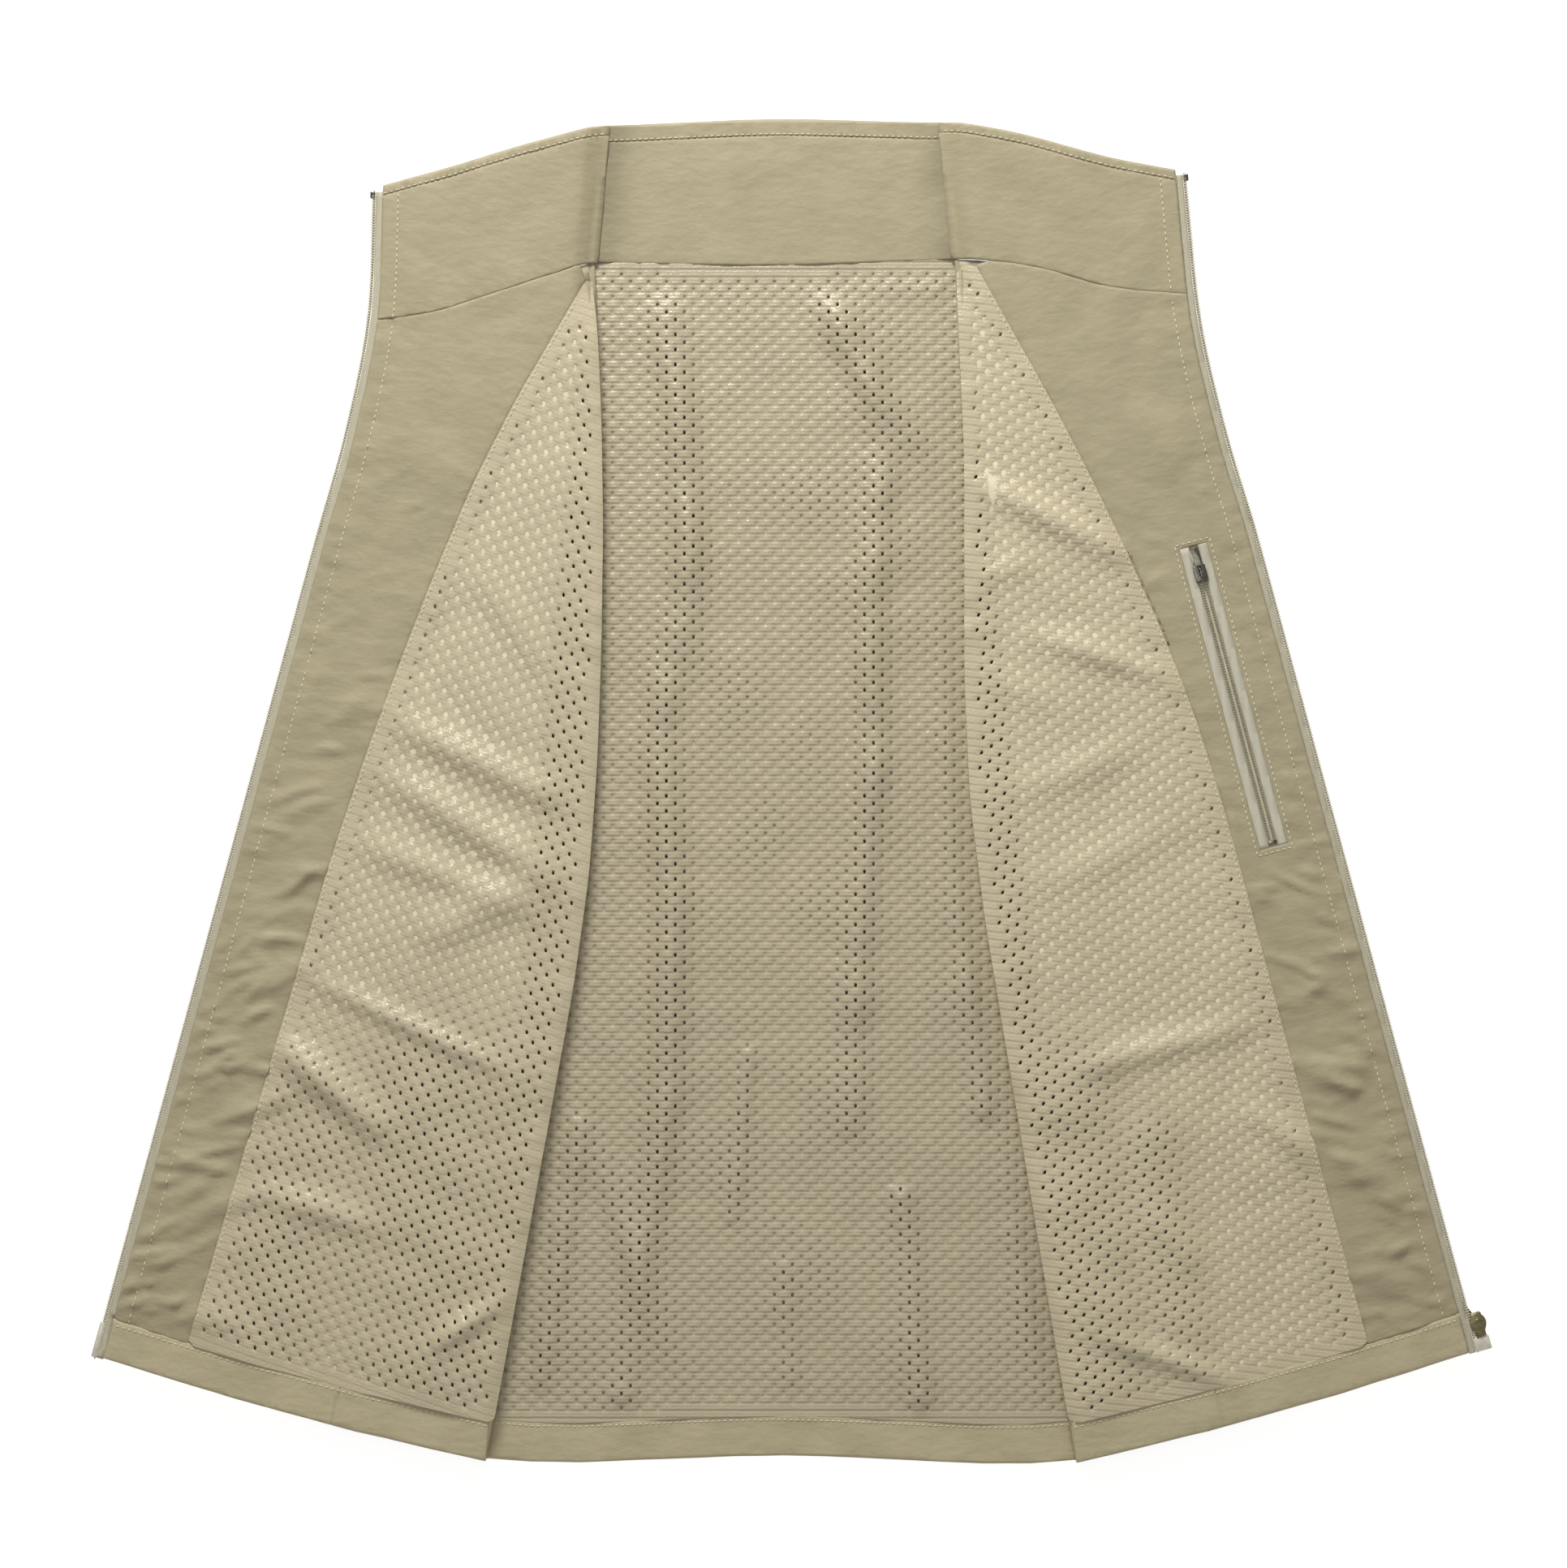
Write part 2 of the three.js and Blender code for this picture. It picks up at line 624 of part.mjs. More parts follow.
// The side panel's outline: down the fold, along the hem, up the side seam, round the armhole.
function sidePieces(front) {
  const { name, side } = front;
  const fold = toVest(front, foldEdge(front));
  const corner = fold.at(-1);
  const [seamX, seamY] = [BACK.sideHem[0] * side, BACK.sideHem[1]];
  const hole = armhole(side);
  const lift = BACK.hemHeight + GAP;
  const foldAbove = fold.filter((point) => point.y > corner.y + lift + 1);
  const panel = [
    ...foldAbove,
    atHeight(fold, corner.y + lift),
    new THREE.Vector2(seamX, seamY + lift),
    ...hole.slice().reverse(),
  ];
  const hem = [
    atHeight(fold, corner.y + BACK.hemHeight),
    corner,
    new THREE.Vector2(seamX, seamY),
    new THREE.Vector2(seamX, seamY + BACK.hemHeight),
  ];
  const binding = strip(hole, -side * GAP, -side * (GAP + ARMHOLE_BINDING));
  return [
    plate(`${name}_side_lining`, panel, SIDE_BOTTOM, SIDE_BOTTOM + CLOTH, MESH_CLOTH),
    plate(`${name}_side_shell`, panel, SIDE_TOP - CLOTH, SIDE_TOP, SHELL_CLOTH),
    plate(`${name}_side_hem`, hem, SIDE_BOTTOM, SIDE_TOP, SHELL_CLOTH),
    plate(`${name}_back_armhole_binding`, binding, 0, LAYER + CLOTH, SHELL_CLOTH),
    plate(`${name}_side_armhole_binding`, binding, SIDE_BOTTOM, SIDE_TOP, SHELL_CLOTH),
  ];
}

// The turned cloth between the straight fold line and the fold's real, bulging edge.
function foldRoll(front) {
  const bulge = foldEdge(front).slice(1, -1);
  const straight = bulge.slice().reverse().map((point) => new THREE.Vector2(-AXIS_GAP, point.y));
  const outline = toVest(front, [...bulge, ...straight]);
  return plate(`${front.name}_fold_roll`, outline, SIDE_TOP + GAP, FOLD_HEIGHT - GAP, SHELL_CLOTH);
}

function cargoPocket(front) {
  const { inner, outer, top, bottom, corner, thickness } = CARGO;
  const bag = vectors([
    [inner, top],
    [inner, bottom + corner],
    [inner + corner, bottom],
    [outer - corner, bottom],
    [outer, bottom + corner],
    [outer, top],
  ]);
  const flapTop = top + CARGO_FLAP.rise;
  const over = CARGO_FLAP.overhang;
  const flap = rectangle(inner - over, flapTop - CARGO_FLAP.height, outer + over, flapTop);
  const bagBottom = SIDE_TOP + GAP;
  const flapBottom = bagBottom + thickness + GAP;
  return [
    plate(`${front.name}_cargo_pocket`, toVest(front, bag), bagBottom, flapBottom - GAP, SHELL_CLOTH),
    plate(`${front.name}_cargo_flap`, toVest(front, flap), flapBottom, flapBottom + CLOTH, SHELL_CLOTH),
  ];
}

// ---- The vest ----

const group = new THREE.Group();
group.add(...backPieces());
[LEFT, RIGHT].forEach((front) => {
  group.add(...sidePieces(front), foldRoll(front), ...cargoPocket(front));
});
const leftFront = frontGroup(LEFT, ZIP.pinLength, []);
leftFront.add(leftPin());
const rightFront = frontGroup(RIGHT, ZIP.endLength, [pocketSlit()]);
rightFront.add(rightFittings(), pocketZip());
group.add(leftFront, rightFront);

export default group;
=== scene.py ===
# %% [markdown]
# # A fishing vest laid open
# The vest lies on its back with both fronts folded open, so its inside shows: mesh lining,
# smooth facings, a stand collar, a coil zip and one inside zip pocket. Its structure comes from
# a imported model; this lesson makes the cloth, stitches, zips and finishes around it.

# %% Load the frame
import math
from functools import partial

import bmesh
import bpy
import numpy as np
from mathutils import Matrix, Vector, noise
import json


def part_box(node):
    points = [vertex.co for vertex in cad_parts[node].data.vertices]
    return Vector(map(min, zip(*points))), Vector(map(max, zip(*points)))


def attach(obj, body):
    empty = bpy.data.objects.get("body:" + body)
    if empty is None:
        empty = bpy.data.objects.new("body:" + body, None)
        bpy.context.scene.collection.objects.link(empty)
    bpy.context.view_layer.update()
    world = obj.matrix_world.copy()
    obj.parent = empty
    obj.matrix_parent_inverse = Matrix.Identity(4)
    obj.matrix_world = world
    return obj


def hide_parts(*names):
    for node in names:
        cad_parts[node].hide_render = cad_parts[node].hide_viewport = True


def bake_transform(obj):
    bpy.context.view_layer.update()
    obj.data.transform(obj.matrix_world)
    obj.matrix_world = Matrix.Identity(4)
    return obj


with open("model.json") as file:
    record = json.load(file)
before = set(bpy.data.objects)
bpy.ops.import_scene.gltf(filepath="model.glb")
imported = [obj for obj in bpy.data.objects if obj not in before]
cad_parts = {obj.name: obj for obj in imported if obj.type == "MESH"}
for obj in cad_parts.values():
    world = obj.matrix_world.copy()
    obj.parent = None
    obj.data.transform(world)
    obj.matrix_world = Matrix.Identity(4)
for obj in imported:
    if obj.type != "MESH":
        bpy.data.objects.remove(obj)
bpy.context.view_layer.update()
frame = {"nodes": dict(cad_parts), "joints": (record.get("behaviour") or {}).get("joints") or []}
MM = 0.001

# %% [markdown]
# ## Camera, floor and light
# A garment laid flat is seen from straight above, through a long lens. A big soft light over
# the collar end makes each small ridge cast a soft shade towards the hem. The floor glows a
# little, so that it reads as white without washing out the cloth.

# %% Camera and stage
VIEW_WIDTH = 868.95 * MM
LENS = 85
SENSOR = 36
CLOTH_LEVEL = 8 * MM

scene = bpy.context.scene
scene.view_settings.view_transform = "Standard"


def add_camera():
    camera = bpy.data.objects.new("camera", bpy.data.cameras.new("camera"))
    scene.collection.objects.link(camera)
    camera.data.lens = LENS
    camera.data.sensor_width = SENSOR
    distance = VIEW_WIDTH * LENS / SENSOR
    camera.location = (0, 0, CLOTH_LEVEL + distance)
    scene.camera = camera
    return distance


def add_light(name, location, size, power):
    """A round soft light that points at the middle of the vest."""
    lamp = bpy.data.lights.new(name, "AREA")
    lamp.shape = "DISK"
    lamp.size = size
    lamp.energy = power
    obj = bpy.data.objects.new(name, lamp)
    scene.collection.objects.link(obj)
    obj.location = location
    aim = Vector((0, 0, 0)) - Vector(location)
    obj.rotation_mode = "QUATERNION"
    obj.rotation_quaternion = aim.to_track_quat("-Z", "Y")


def add_floor():
    bm = bmesh.new()
    bmesh.ops.create_grid(bm, x_segments=2, y_segments=2, size=4)
    mesh = bpy.data.meshes.new("floor")
    bm.to_mesh(mesh)
    bm.free()
    floor = bpy.data.objects.new("floor", mesh)
    scene.collection.objects.link(floor)
    paint = bpy.data.materials.new("floor_paint")
    paint.use_nodes = True
    shader = paint.node_tree.nodes["Principled BSDF"]
    shader.inputs["Base Color"].default_value = (0.5, 0.5, 0.495, 1)
    shader.inputs["Roughness"].default_value = 0.9
    shader.inputs["Emission Color"].default_value = (1, 1, 1, 1)
    shader.inputs["Emission Strength"].default_value = 0.78
    mesh.materials.append(paint)


def add_world():
    world = bpy.data.worlds.new("studio")
    world.use_nodes = True
    world.node_tree.nodes["Background"].inputs["Color"].default_value = (1, 0.99, 0.97, 1)
    world.node_tree.nodes["Background"].inputs["Strength"].default_value = 0.34
    scene.world = world


print("camera distance:", round(add_camera(), 3), "m")
add_floor()
add_world()
add_light("collar_softbox", (-0.3, 1.7, 1.1), 0.7, 35)
add_light("overhead", (-0.2, 0.1, 2.4), 1.6, 7)

# %% [markdown]
# ## Finishes
# Every cloth here is a Principled shader with three things: a weave that only bends the light
# (bump), a slow change of colour, and sheen. The weave follows the piece's own flat pattern,
# kept in a UV map in centimetres, so it turns with the cloth.

# %% Node helpers
PATTERN_UV = "pattern"
# Name of the mesh attribute that holds painted shade: the nylon's colour is darkened where it is
# set.
PAINTED_SHADE_ATTRIBUTE = "painted_shade"


def new_finish(name, color, roughness, metallic=0.0, sheen=0.0, specular=0.5):
    finish = bpy.data.materials.new(name)
    finish.use_nodes = True
    shader = finish.node_tree.nodes["Principled BSDF"]
    shader.inputs["Base Color"].default_value = (*color, 1)
    shader.inputs["Roughness"].default_value = roughness
    shader.inputs["Metallic"].default_value = metallic
    shader.inputs["Sheen Weight"].default_value = sheen
    shader.inputs["Sheen Roughness"].default_value = 0.35
    shader.inputs["Specular IOR Level"].default_value = specular
    return finish


def node(finish, kind, inputs=None, **settings):
    made = finish.node_tree.nodes.new("ShaderNode" + kind)
    for key, value in settings.items():
        setattr(made, key, value)
    for key, value in (inputs or {}).items():
        if isinstance(value, bpy.types.NodeSocket):
            finish.node_tree.links.new(value, made.inputs[key])
        else:
            made.inputs[key].default_value = value
    return made


def maths(finish, operation, a, b=0.0):
    return node(finish, "Math", {0: a, 1: b}, operation=operation).outputs[0]


def scaled(finish, value, factor, base):
    """value times factor, plus base."""
    inputs = {0: value, 1: factor, 2: base}
    return node(finish, "Math", inputs, operation="MULTIPLY_ADD").outputs[0]


def pattern_point(finish):
    uv = node(finish, "UVMap", uv_map=PATTERN_UV)
    return uv.outputs["UV"]


def object_point(finish):
    return node(finish, "TexCoord").outputs["Object"]


def cloud(finish, point, scale, detail=3, stretch=(1, 1, 1), turn=0.0):
    placed = node(finish, "Mapping", {"Vector": point, "Scale": stretch, "Rotation": (0, 0, turn)})
    made = node(finish, "TexNoise", {"Vector": placed.outputs[0], "Scale": scale, "Detail": detail})
    return made.outputs["Fac"]


def tint(finish, factor, low, high, low_at=0.3, high_at=0.7):
    ramp = node(finish, "ValToRGB", {"Fac": factor})
    ramp.color_ramp.elements[0].position = low_at
    ramp.color_ramp.elements[1].position = high_at
    ramp.color_ramp.elements[0].color = (*low, 1)
    ramp.color_ramp.elements[1].color = (*high, 1)
    return ramp.outputs["Color"]


def multiplied(finish, color, factor):
    """A color darkened by a factor from 0 to 1."""
    mixed = node(finish, "Mix", {"Factor": 1.0}, data_type="RGBA", blend_type="MULTIPLY")
    finish.node_tree.links.new(color, mixed.inputs[6])
    finish.node_tree.links.new(factor, mixed.inputs[7])
    return mixed.outputs[2]


def connect(finish, socket, value):
    shader = finish.node_tree.nodes["Principled BSDF"]
    finish.node_tree.links.new(value, shader.inputs[socket])


def bump(finish, height, strength, distance, below=None):
    inputs = {"Height": height, "Strength": strength, "Distance": distance}
    if below is not None:
        inputs["Normal"] = below
    return node(finish, "Bump", inputs).outputs["Normal"]


def shade(color, factor):
    return tuple(min(1.0, c * factor) for c in color)


# %% Colours, as linear light
def linear(r, g, b):
    return tuple(((c / 255 + 0.055) / 1.055) ** 2.4 for c in (r, g, b))


NYLON = linear(173, 162, 131)
LINING = linear(186, 174, 144)
TAPE_YARN = linear(200, 193, 168)
POCKET_YARN = linear(210, 205, 184)
COIL_NYLON = linear(206, 198, 172)
THREAD = linear(226, 217, 188)


# %% Smooth nylon for the shell, facings, collar and hem
def nylon(name, color, painted_shade_strength=0.4):
    finish = new_finish(name, color, 0.52, sheen=0.12, specular=0.35)
    point = pattern_point(finish)
    drift = cloud(finish, point, 0.35, 4)
    patchy = tint(finish, drift, shade(color, 0.94), shade(color, 1.05))
    # Painted shade: a mesh attribute darkens the colour under loose lining and at collar creases.
    painted_shade = node(finish, "Attribute", attribute_name=PAINTED_SHADE_ATTRIBUTE).outputs["Fac"]
    darker = scaled(finish, painted_shade, -painted_shade_strength, 1.0)
    connect(finish, "Base Color", multiplied(finish, patchy, darker))
    connect(finish, "Roughness", scaled(finish, cloud(finish, point, 2.0), 0.22, 0.42))
    warp = node(finish, "TexWave", {"Vector": point, "Scale": 17.0, "Distortion": 0.6})
    weft = node(finish, "TexWave", {"Vector": point, "Scale": 17.0, "Distortion": 0.6},
                bands_direction="Y")
    weave = maths(finish, "ADD", warp.outputs["Fac"], weft.outputs["Fac"])
    fine = bump(finish, weave, 0.25, 0.00006)
    crinkle = cloud(finish, point, 1.5, 6, stretch=(0.8, 1.3, 1))
    connect(finish, "Normal", bump(finish, crinkle, 0.55, 0.0012, below=fine))
    return finish


NYLON_FINISH = nylon("khaki_nylon", NYLON)
OUTER_NYLON = nylon("khaki_nylon_outside", NYLON, painted_shade_strength=0.0)
HEM_NYLON = nylon("khaki_nylon_hem", shade(NYLON, 1.2))
COATED_SIDE = nylon("khaki_nylon_coated_side", linear(228, 218, 188))
BACK_COATED_SIDE = nylon("khaki_nylon_back_coated_side", linear(186, 174, 142))

# %% [markdown]
# ## Eyelet-knit lining
# The lining is a satin warp knit with rows of small oval eyelets, every second row set over by
# half a step. The eyelets are cut in the mesh. The ribs between the rows are bump, a wave with
# the rows' own pitch, read from the UV map, and the same wave darkens the colour in the grooves
# as painted shade. A fine cell pattern stands for the yarn's loops.

# %% The lining's finish
EYELET_PITCH = 10.0
ROW_PITCH = 4.2


def eyelet_knit(name, color, rib_strength):
    finish = new_finish(name, color, 0.35, sheen=0.3, specular=0.65)
    point = pattern_point(finish)
    parts = node(finish, "SeparateXYZ", {"Vector": point})
    along = parts.outputs[1]
    row_phase = maths(finish, "MULTIPLY", along, 2 * math.pi * 10 / ROW_PITCH)
    row = maths(finish, "MULTIPLY", maths(finish, "COSINE", row_phase), -0.9)
    half_row = maths(finish, "SINE", maths(finish, "MULTIPLY", row_phase, 2.0))
    rib = maths(finish, "ADD", row, maths(finish, "MULTIPLY", half_row, 0.5))
    loops = node(finish, "TexVoronoi", {"Vector": point, "Scale": 9.0})
    yarn = maths(finish, "ADD", maths(finish, "MULTIPLY", rib, rib_strength),
                 loops.outputs["Distance"])
    drift = cloud(finish, point, 0.16, 4, stretch=(0.5, 1, 1))
    color_drift = tint(finish, drift, shade(color, 0.96), shade(color, 1.05))
    # Painted shade: the rib wave also darkens the colour in the grooves between the ribs.
    groove = scaled(finish, rib, 0.055 * rib_strength, 0.95)
    connect(finish, "Base Color", multiplied(finish, color_drift, groove))
    connect(finish, "Normal", bump(finish, yarn, 0.5, 0.00028))
    return finish


RIBBED_KNIT = eyelet_knit("eyelet_knit_ribbed", LINING, 1.0)
SMOOTH_KNIT = eyelet_knit("eyelet_knit_smooth", shade(LINING, 1.16), 0.35)
SOFT_RIB_KNIT = eyelet_knit("eyelet_knit_soft_rib", shade(LINING, 1.2), 0.6)
print("cloth finishes made")

# %% [markdown]
# ## The fronts' own frames
# Each front is a flat piece that turns about its fold line. Its frame has u running outwards
# from the fold, v up the fold and w up from the cloth, in millimetres. The hinge in the record
# gives the fold line, and a facing's top face gives the small tilt.

# %% Frames of the two fronts
hinges = {joint["child"]: joint for joint in frame["joints"]}


def top_normal(cad_node):
    mesh = frame["nodes"][cad_node].data
    total = Vector((0, 0, 0))
    for face in mesh.polygons:
        if face.normal.z > 0.9:
            total += face.normal * face.area
    return total.normalized()


class Front:
    """One front's body and flat frame. side is -1 for the left one, 1 for the right one."""

    def __init__(self, name, side):
        self.body = f"{name}_front"
        hinge = hinges[self.body]
        self.origin = Vector(hinge["pos_m"])
        up_fold = Vector(hinge["axis"]) * -side
        up = top_normal(f"{name}_facing")
        out = up_fold.cross(up) * side
        turn = Matrix((out, up_fold, up)).transposed()
        self.from_flat = Matrix.Translation(self.origin) @ turn.to_4x4() @ Matrix.Scale(MM, 4)
        self.to_flat = self.from_flat.inverted()

    def point(self, u, v, w=0.0):
        return self.from_flat @ Vector((u, v, w))


LEFT = Front("left", -1)
RIGHT = Front("right", 1)
BACK_TO_FLAT = Matrix.Scale(1 / MM, 4)
BACK_FROM_FLAT = Matrix.Scale(MM, 4)
print("left fold starts at", tuple(round(c, 4) for c in LEFT.origin))


# %% [markdown]
# ## From a flat plate to a piece of cloth
# The model's plates already have each piece's true outline. A copy of a plate's top face is cut
# into small squares with bisect planes, which keeps the outline sharp, and its points then take
# their heights from the cloth's lie. Solidify gives the nylon its thickness.

# %% Sheet helpers
def move(bm, matrix):
    """Moves a mesh, and turns its faces the right way out again where the matrix mirrors it."""
    bm.transform(matrix)
    if matrix.determinant() < 0:
        bmesh.ops.reverse_faces(bm, faces=bm.faces[:])


def flat_top(cad_node, to_flat):
    """A bmesh of a plate's top face, in flat millimetres."""
    bm = bmesh.new()
    bm.from_mesh(frame["nodes"][cad_node].data)
    move(bm, to_flat)
    bmesh.ops.remove_doubles(bm, verts=bm.verts, dist=0.01)
    bm.normal_update()
    sides = [f for f in bm.faces if f.normal.z < 0.9]
    bmesh.ops.delete(bm, geom=sides, context="FACES")
    bmesh.ops.dissolve_limit(bm, angle_limit=0.02, verts=bm.verts, edges=bm.edges)
    return bm


def slice_up(bm, step):
    """Cuts a flat sheet into square cells with parallel planes, both ways."""
    for angle in (0, math.pi / 2):
        normal = Vector((math.cos(angle), math.sin(angle), 0))
        reach = [v.co.dot(normal) for v in bm.verts]
        at = math.ceil(min(reach) / step) * step
        while at < max(reach):
            geom = bm.verts[:] + bm.edges[:] + bm.faces[:]
            bmesh.ops.bisect_plane(bm, geom=geom, dist=1e-4, plane_co=normal * at, plane_no=normal)
            at += step


PATTERN_UNIT = 10.0


def add_pattern(bm, turn=0.0, origin=(0.0, 0.0)):
    """Writes the flat place of each corner to the pattern UV map, in centimetres."""
    layer = bm.loops.layers.uv.new(PATTERN_UV)
    spin = Matrix.Rotation(-turn, 2)
    for face in bm.faces:
        for loop in face.loops:
            loop[layer].uv = (spin @ (loop.vert.co.xy - Vector(origin))) / PATTERN_UNIT


def points_of(bm):
    return np.array([v.co for v in bm.verts], float).reshape(-1, 3)


def set_points(bm, points):
    for vert, place in zip(bm.verts, points):
        vert.co = place


RIM_REACH = 0.45


def straight_out(vert):
    """The direction out of the sheet at a point of its outline, square to the outline."""
    total = Vector((0, 0))
    for edge in vert.link_edges:
        if edge.is_boundary:
            run = edge.other_vert(vert).co.xy - vert.co.xy
            square = Vector((-run.y, run.x)).normalized()
            inwards = edge.link_faces[0].calc_center_median().xy - vert.co.xy
            total += square if square.dot(inwards) < 0 else -square
    return total.normalized()


def lower_rim(bm, drop):
    """Lowers the outline's outer edge, so that the rim cut inside it slopes as a turned edge."""
    rim = [v for v in bm.verts if v.is_boundary]
    shifts = [straight_out(vert) * RIM_REACH for vert in rim]
    for vert, shift in zip(rim, shifts):
        vert.co.xy += shift
        vert.co.z -= drop


def flat_area(bm):
    return sum(f.calc_area() for f in bm.faces) * MM * MM


def extent(bm):
    """Width and length of the smallest rectangle that the flat piece is cut from."""
    points = points_of(bm)[:, :2]
    sizes = []
    for degrees in range(0, 90, 3):
        turn = np.array(Matrix.Rotation(math.radians(degrees), 2))
        sizes.append(np.ptp(points @ turn, axis=0) * MM)
    best = min(sizes, key=lambda size: size[0] * size[1])
    return float(best[0]), float(best[1])


def finish_piece(bm, name, from_flat, finish):
    """Makes an object of a flat mesh, in its place on the vest."""
    move(bm, from_flat)
    mesh = bpy.data.meshes.new(name)
    bm.to_mesh(mesh)
    bm.free()
    mesh.materials.append(finish)
    mesh.shade_smooth()
    obj = bpy.data.objects.new(name, mesh)
    scene.collection.objects.link(obj)
    return obj


def thicken(obj, thickness, under_finish=None):
    """Gives a sheet its thickness downwards, with its own finish underneath if it has one."""
    solidify = obj.modifiers.new("cloth_thickness", "SOLIDIFY")
    solidify.thickness = thickness * MM
    solidify.offset = -1
    if under_finish:
        obj.data.materials.append(under_finish)
        solidify.material_offset = 1
        solidify.material_offset_rim = 1


# %% [markdown]
# ## How the cloth lies
# Laid cloth is never flat. Long soft folds run where it was pulled, it puckers along every
# seam, and it has small random waves. Each of these is a height in millimetres over the flat
# pattern, and a piece's height is their sum.

# %% Heights
def fold(points, start, end, height, width):
    """A soft ridge from start to end, fading at both ends."""
    a, b = np.array(start, float), np.array(end, float)
    run = b - a
    t = np.clip(((points[:, :2] - a) @ run) / (run @ run), 0, 1)
    away = np.linalg.norm(points[:, :2] - (a + t[:, None] * run), axis=1)
    fade = np.sin(np.pi * np.clip(t, 0.02, 0.98)) ** 0.6
    return height * fade * np.exp(-((away / width) ** 2))


def waves(points, size, height, seed, stretch=(1.0, 1.0)):
    """Smooth random waves of about the given size."""
    lift = [noise.noise(Vector((x * stretch[0] / size, y * stretch[1] / size, seed)))
            for x, y in points[:, :2]]
    return height * np.array(lift)


def nearest_on(line, points):
    """Distance of each point from a polyline, and how far along the line its foot is."""
    line = np.array(line, float)
    best = np.full(len(points), 1e9)
    along = np.zeros(len(points))
    run_so_far = 0.0
    for a, b in zip(line[:-1], line[1:]):
        run = b - a
        length = float(np.linalg.norm(run))
        t = np.clip(((points[:, :2] - a) @ run) / (length * length), 0, 1)
        away = np.linalg.norm(points[:, :2] - (a + t[:, None] * run), axis=1)
        closer = away < best
        best = np.where(closer, away, best)
        along = np.where(closer, run_so_far + t * length, along)
        run_so_far += length
    return best, along


def puckers(points, line, height, reach, wavelength, seed, groove=0.0):
    """Short waves across a seam, strongest at the seam, with a groove along it."""
    away, along = nearest_on(line, points)
    beat = [noise.noise(Vector((s / wavelength, seed, d / (3 * wavelength))))
            for s, d in zip(along, away)]
    slow = [0.6 + noise.noise(Vector((s / (6 * wavelength), seed + 5, 0.5))) for s in along]
    fade = np.exp(-away / reach)
    rise = height * np.array(beat) * np.array(slow) * fade * 2
    return rise - groove * np.exp(-((away / 1.2) ** 2))


print("helpers ready")

# %% [markdown]
# ## Where this vest is creased
# These folds were set by how the vest was laid down, so they are a list of ridges: start, end,
# height and half-width, in millimetres over the vest. The second list is where the loose lining
# stands off its shell. Over such a pocket of air the eyelets look dark: the lining is lifted,
# and the shell under it is darkened with painted shade.

# %% Ridges and loose places
RIDGES = {
    "left": [
        ((-222, 38), (-120, -12), 3.2, 9), ((-226, 8), (-118, -58), 3.6, 10),
        ((-240, -30), (-140, -70), 2.4, 9), ((-282, -140), (-218, -196), 4.6, 9),
        ((-262, -108), (-150, -160), 2.6, 6), ((-196, -312), (-146, -280), 3.4, 6),
        ((-290, -225), (-225, -245), 2.4, 8), ((-170, 120), (-130, 60), 1.6, 10),
        ((-318, -190), (-270, -170), 1.8, 6), ((-332, -240), (-285, -225), 1.6, 6),
        ((-300, -120), (-262, -96), 1.5, 6), ((-255, 30), (-225, 52), 1.2, 6),
        ((-207, -88), (-138, -56), 2.4, 12),
        ((-215, 190), (-160, 160), 1.0, 14), ((-345, -290), (-300, -300), 1.4, 7),
    ],
    "right": [
        ((98, 172), (196, 122), 3.4, 8), ((98, 112), (140, 122), 1.5, 7),
        ((140, 82), (214, 58), 2.6, 7), ((104, 62), (152, 42), 1.1, 9),
        ((120, -8), (202, 22), 1.5, 10), ((128, -62), (226, -22), 1.4, 11),
        ((154, -160), (264, -132), 2.6, 8), ((255, -178), (302, -212), 2.4, 8),
        ((172, -304), (252, -332), 2.8, 6), ((200, -235), (230, -270), 1.8, 9),
        ((150, -250), (200, -320), 1.8, 9), ((280, -150), (322, -170), 1.6, 6),
        ((288, -60), (322, -84), 1.5, 6), ((300, -200), (345, -232), 1.8, 6),
        ((268, -20), (300, -30), 1.2, 6), ((290, -105), (330, -130), 1.6, 5),
        ((310, -265), (362, -285), 1.4, 7), ((190, 215), (232, 160), 1.0, 12),
    ],
    "back": [
        ((18, 262), (80, 182), 2.6, 8), ((-60, 250), (-50, 60), 1.8, 9),
        ((44, 150), (52, -30), 1.4, 8), ((-62, 20), (-70, -250), 1.6, 9),
        ((-112, -180), (-60, -330), 1.8, 8), ((110, -20), (140, -330), 1.6, 8),
    ],
}
LOOSE = {
    "left": [
        ([(-198, -168), (-190, -330)], 34, 5.0), ([(-150, -150), (-160, -330)], 20, 4.0),
        ([(-240, -250), (-225, -330)], 16, 3.0), ([(-262, -168), (-292, -310)], 30, 4.0),
    ],
    "right": [
        ([(150, -172), (172, -330)], 26, 5.0), ([(205, -200), (222, -325)], 15, 3.5),
        ([(296, -180), (322, -305)], 14, 3.2),
    ],
    "back": [
        ([(-68, 288), (-58, 200), (-50, 130), (-70, 30), (-62, -60), (-62, -160), (-78, -250),
          (-90, -335)], 9, 3.4),
        ([(16, 284), (46, 235), (56, 190), (48, 100), (52, 20), (42, -80), (38, -190)], 8, 3.2),
        ([(-95, 284), (85, 280)], 7, 3.2), ([(92, 90), (98, -60), (112, -180)], 7, 3.0),
        ([(66, -230), (76, -340)], 7, 3.0), ([(-20, -150), (-28, -240)], 5, 2.0),
        ([(-115, -190), (-135, -330)], 7, 3.0), ([(0, -270), (4, -330)], 7, 2.0),
        ([(130, -250), (146, -335)], 7, 3.0),
    ],
}
EDGE_LOOSE = 3.4
CREASE_WIDTH = 6.5
SEAM_LOOSE_REACH = {"left": 6.5, "right": 6.5}
FOLD_LOOSE_REACH = {"left": 6.5, "right": 2.6}
LINING_GAP = 0.6


def smooth_step(value, low, high):
    t = np.clip((value - low) / (high - low), 0, 1)
    return t * t * (3 - 2 * t)


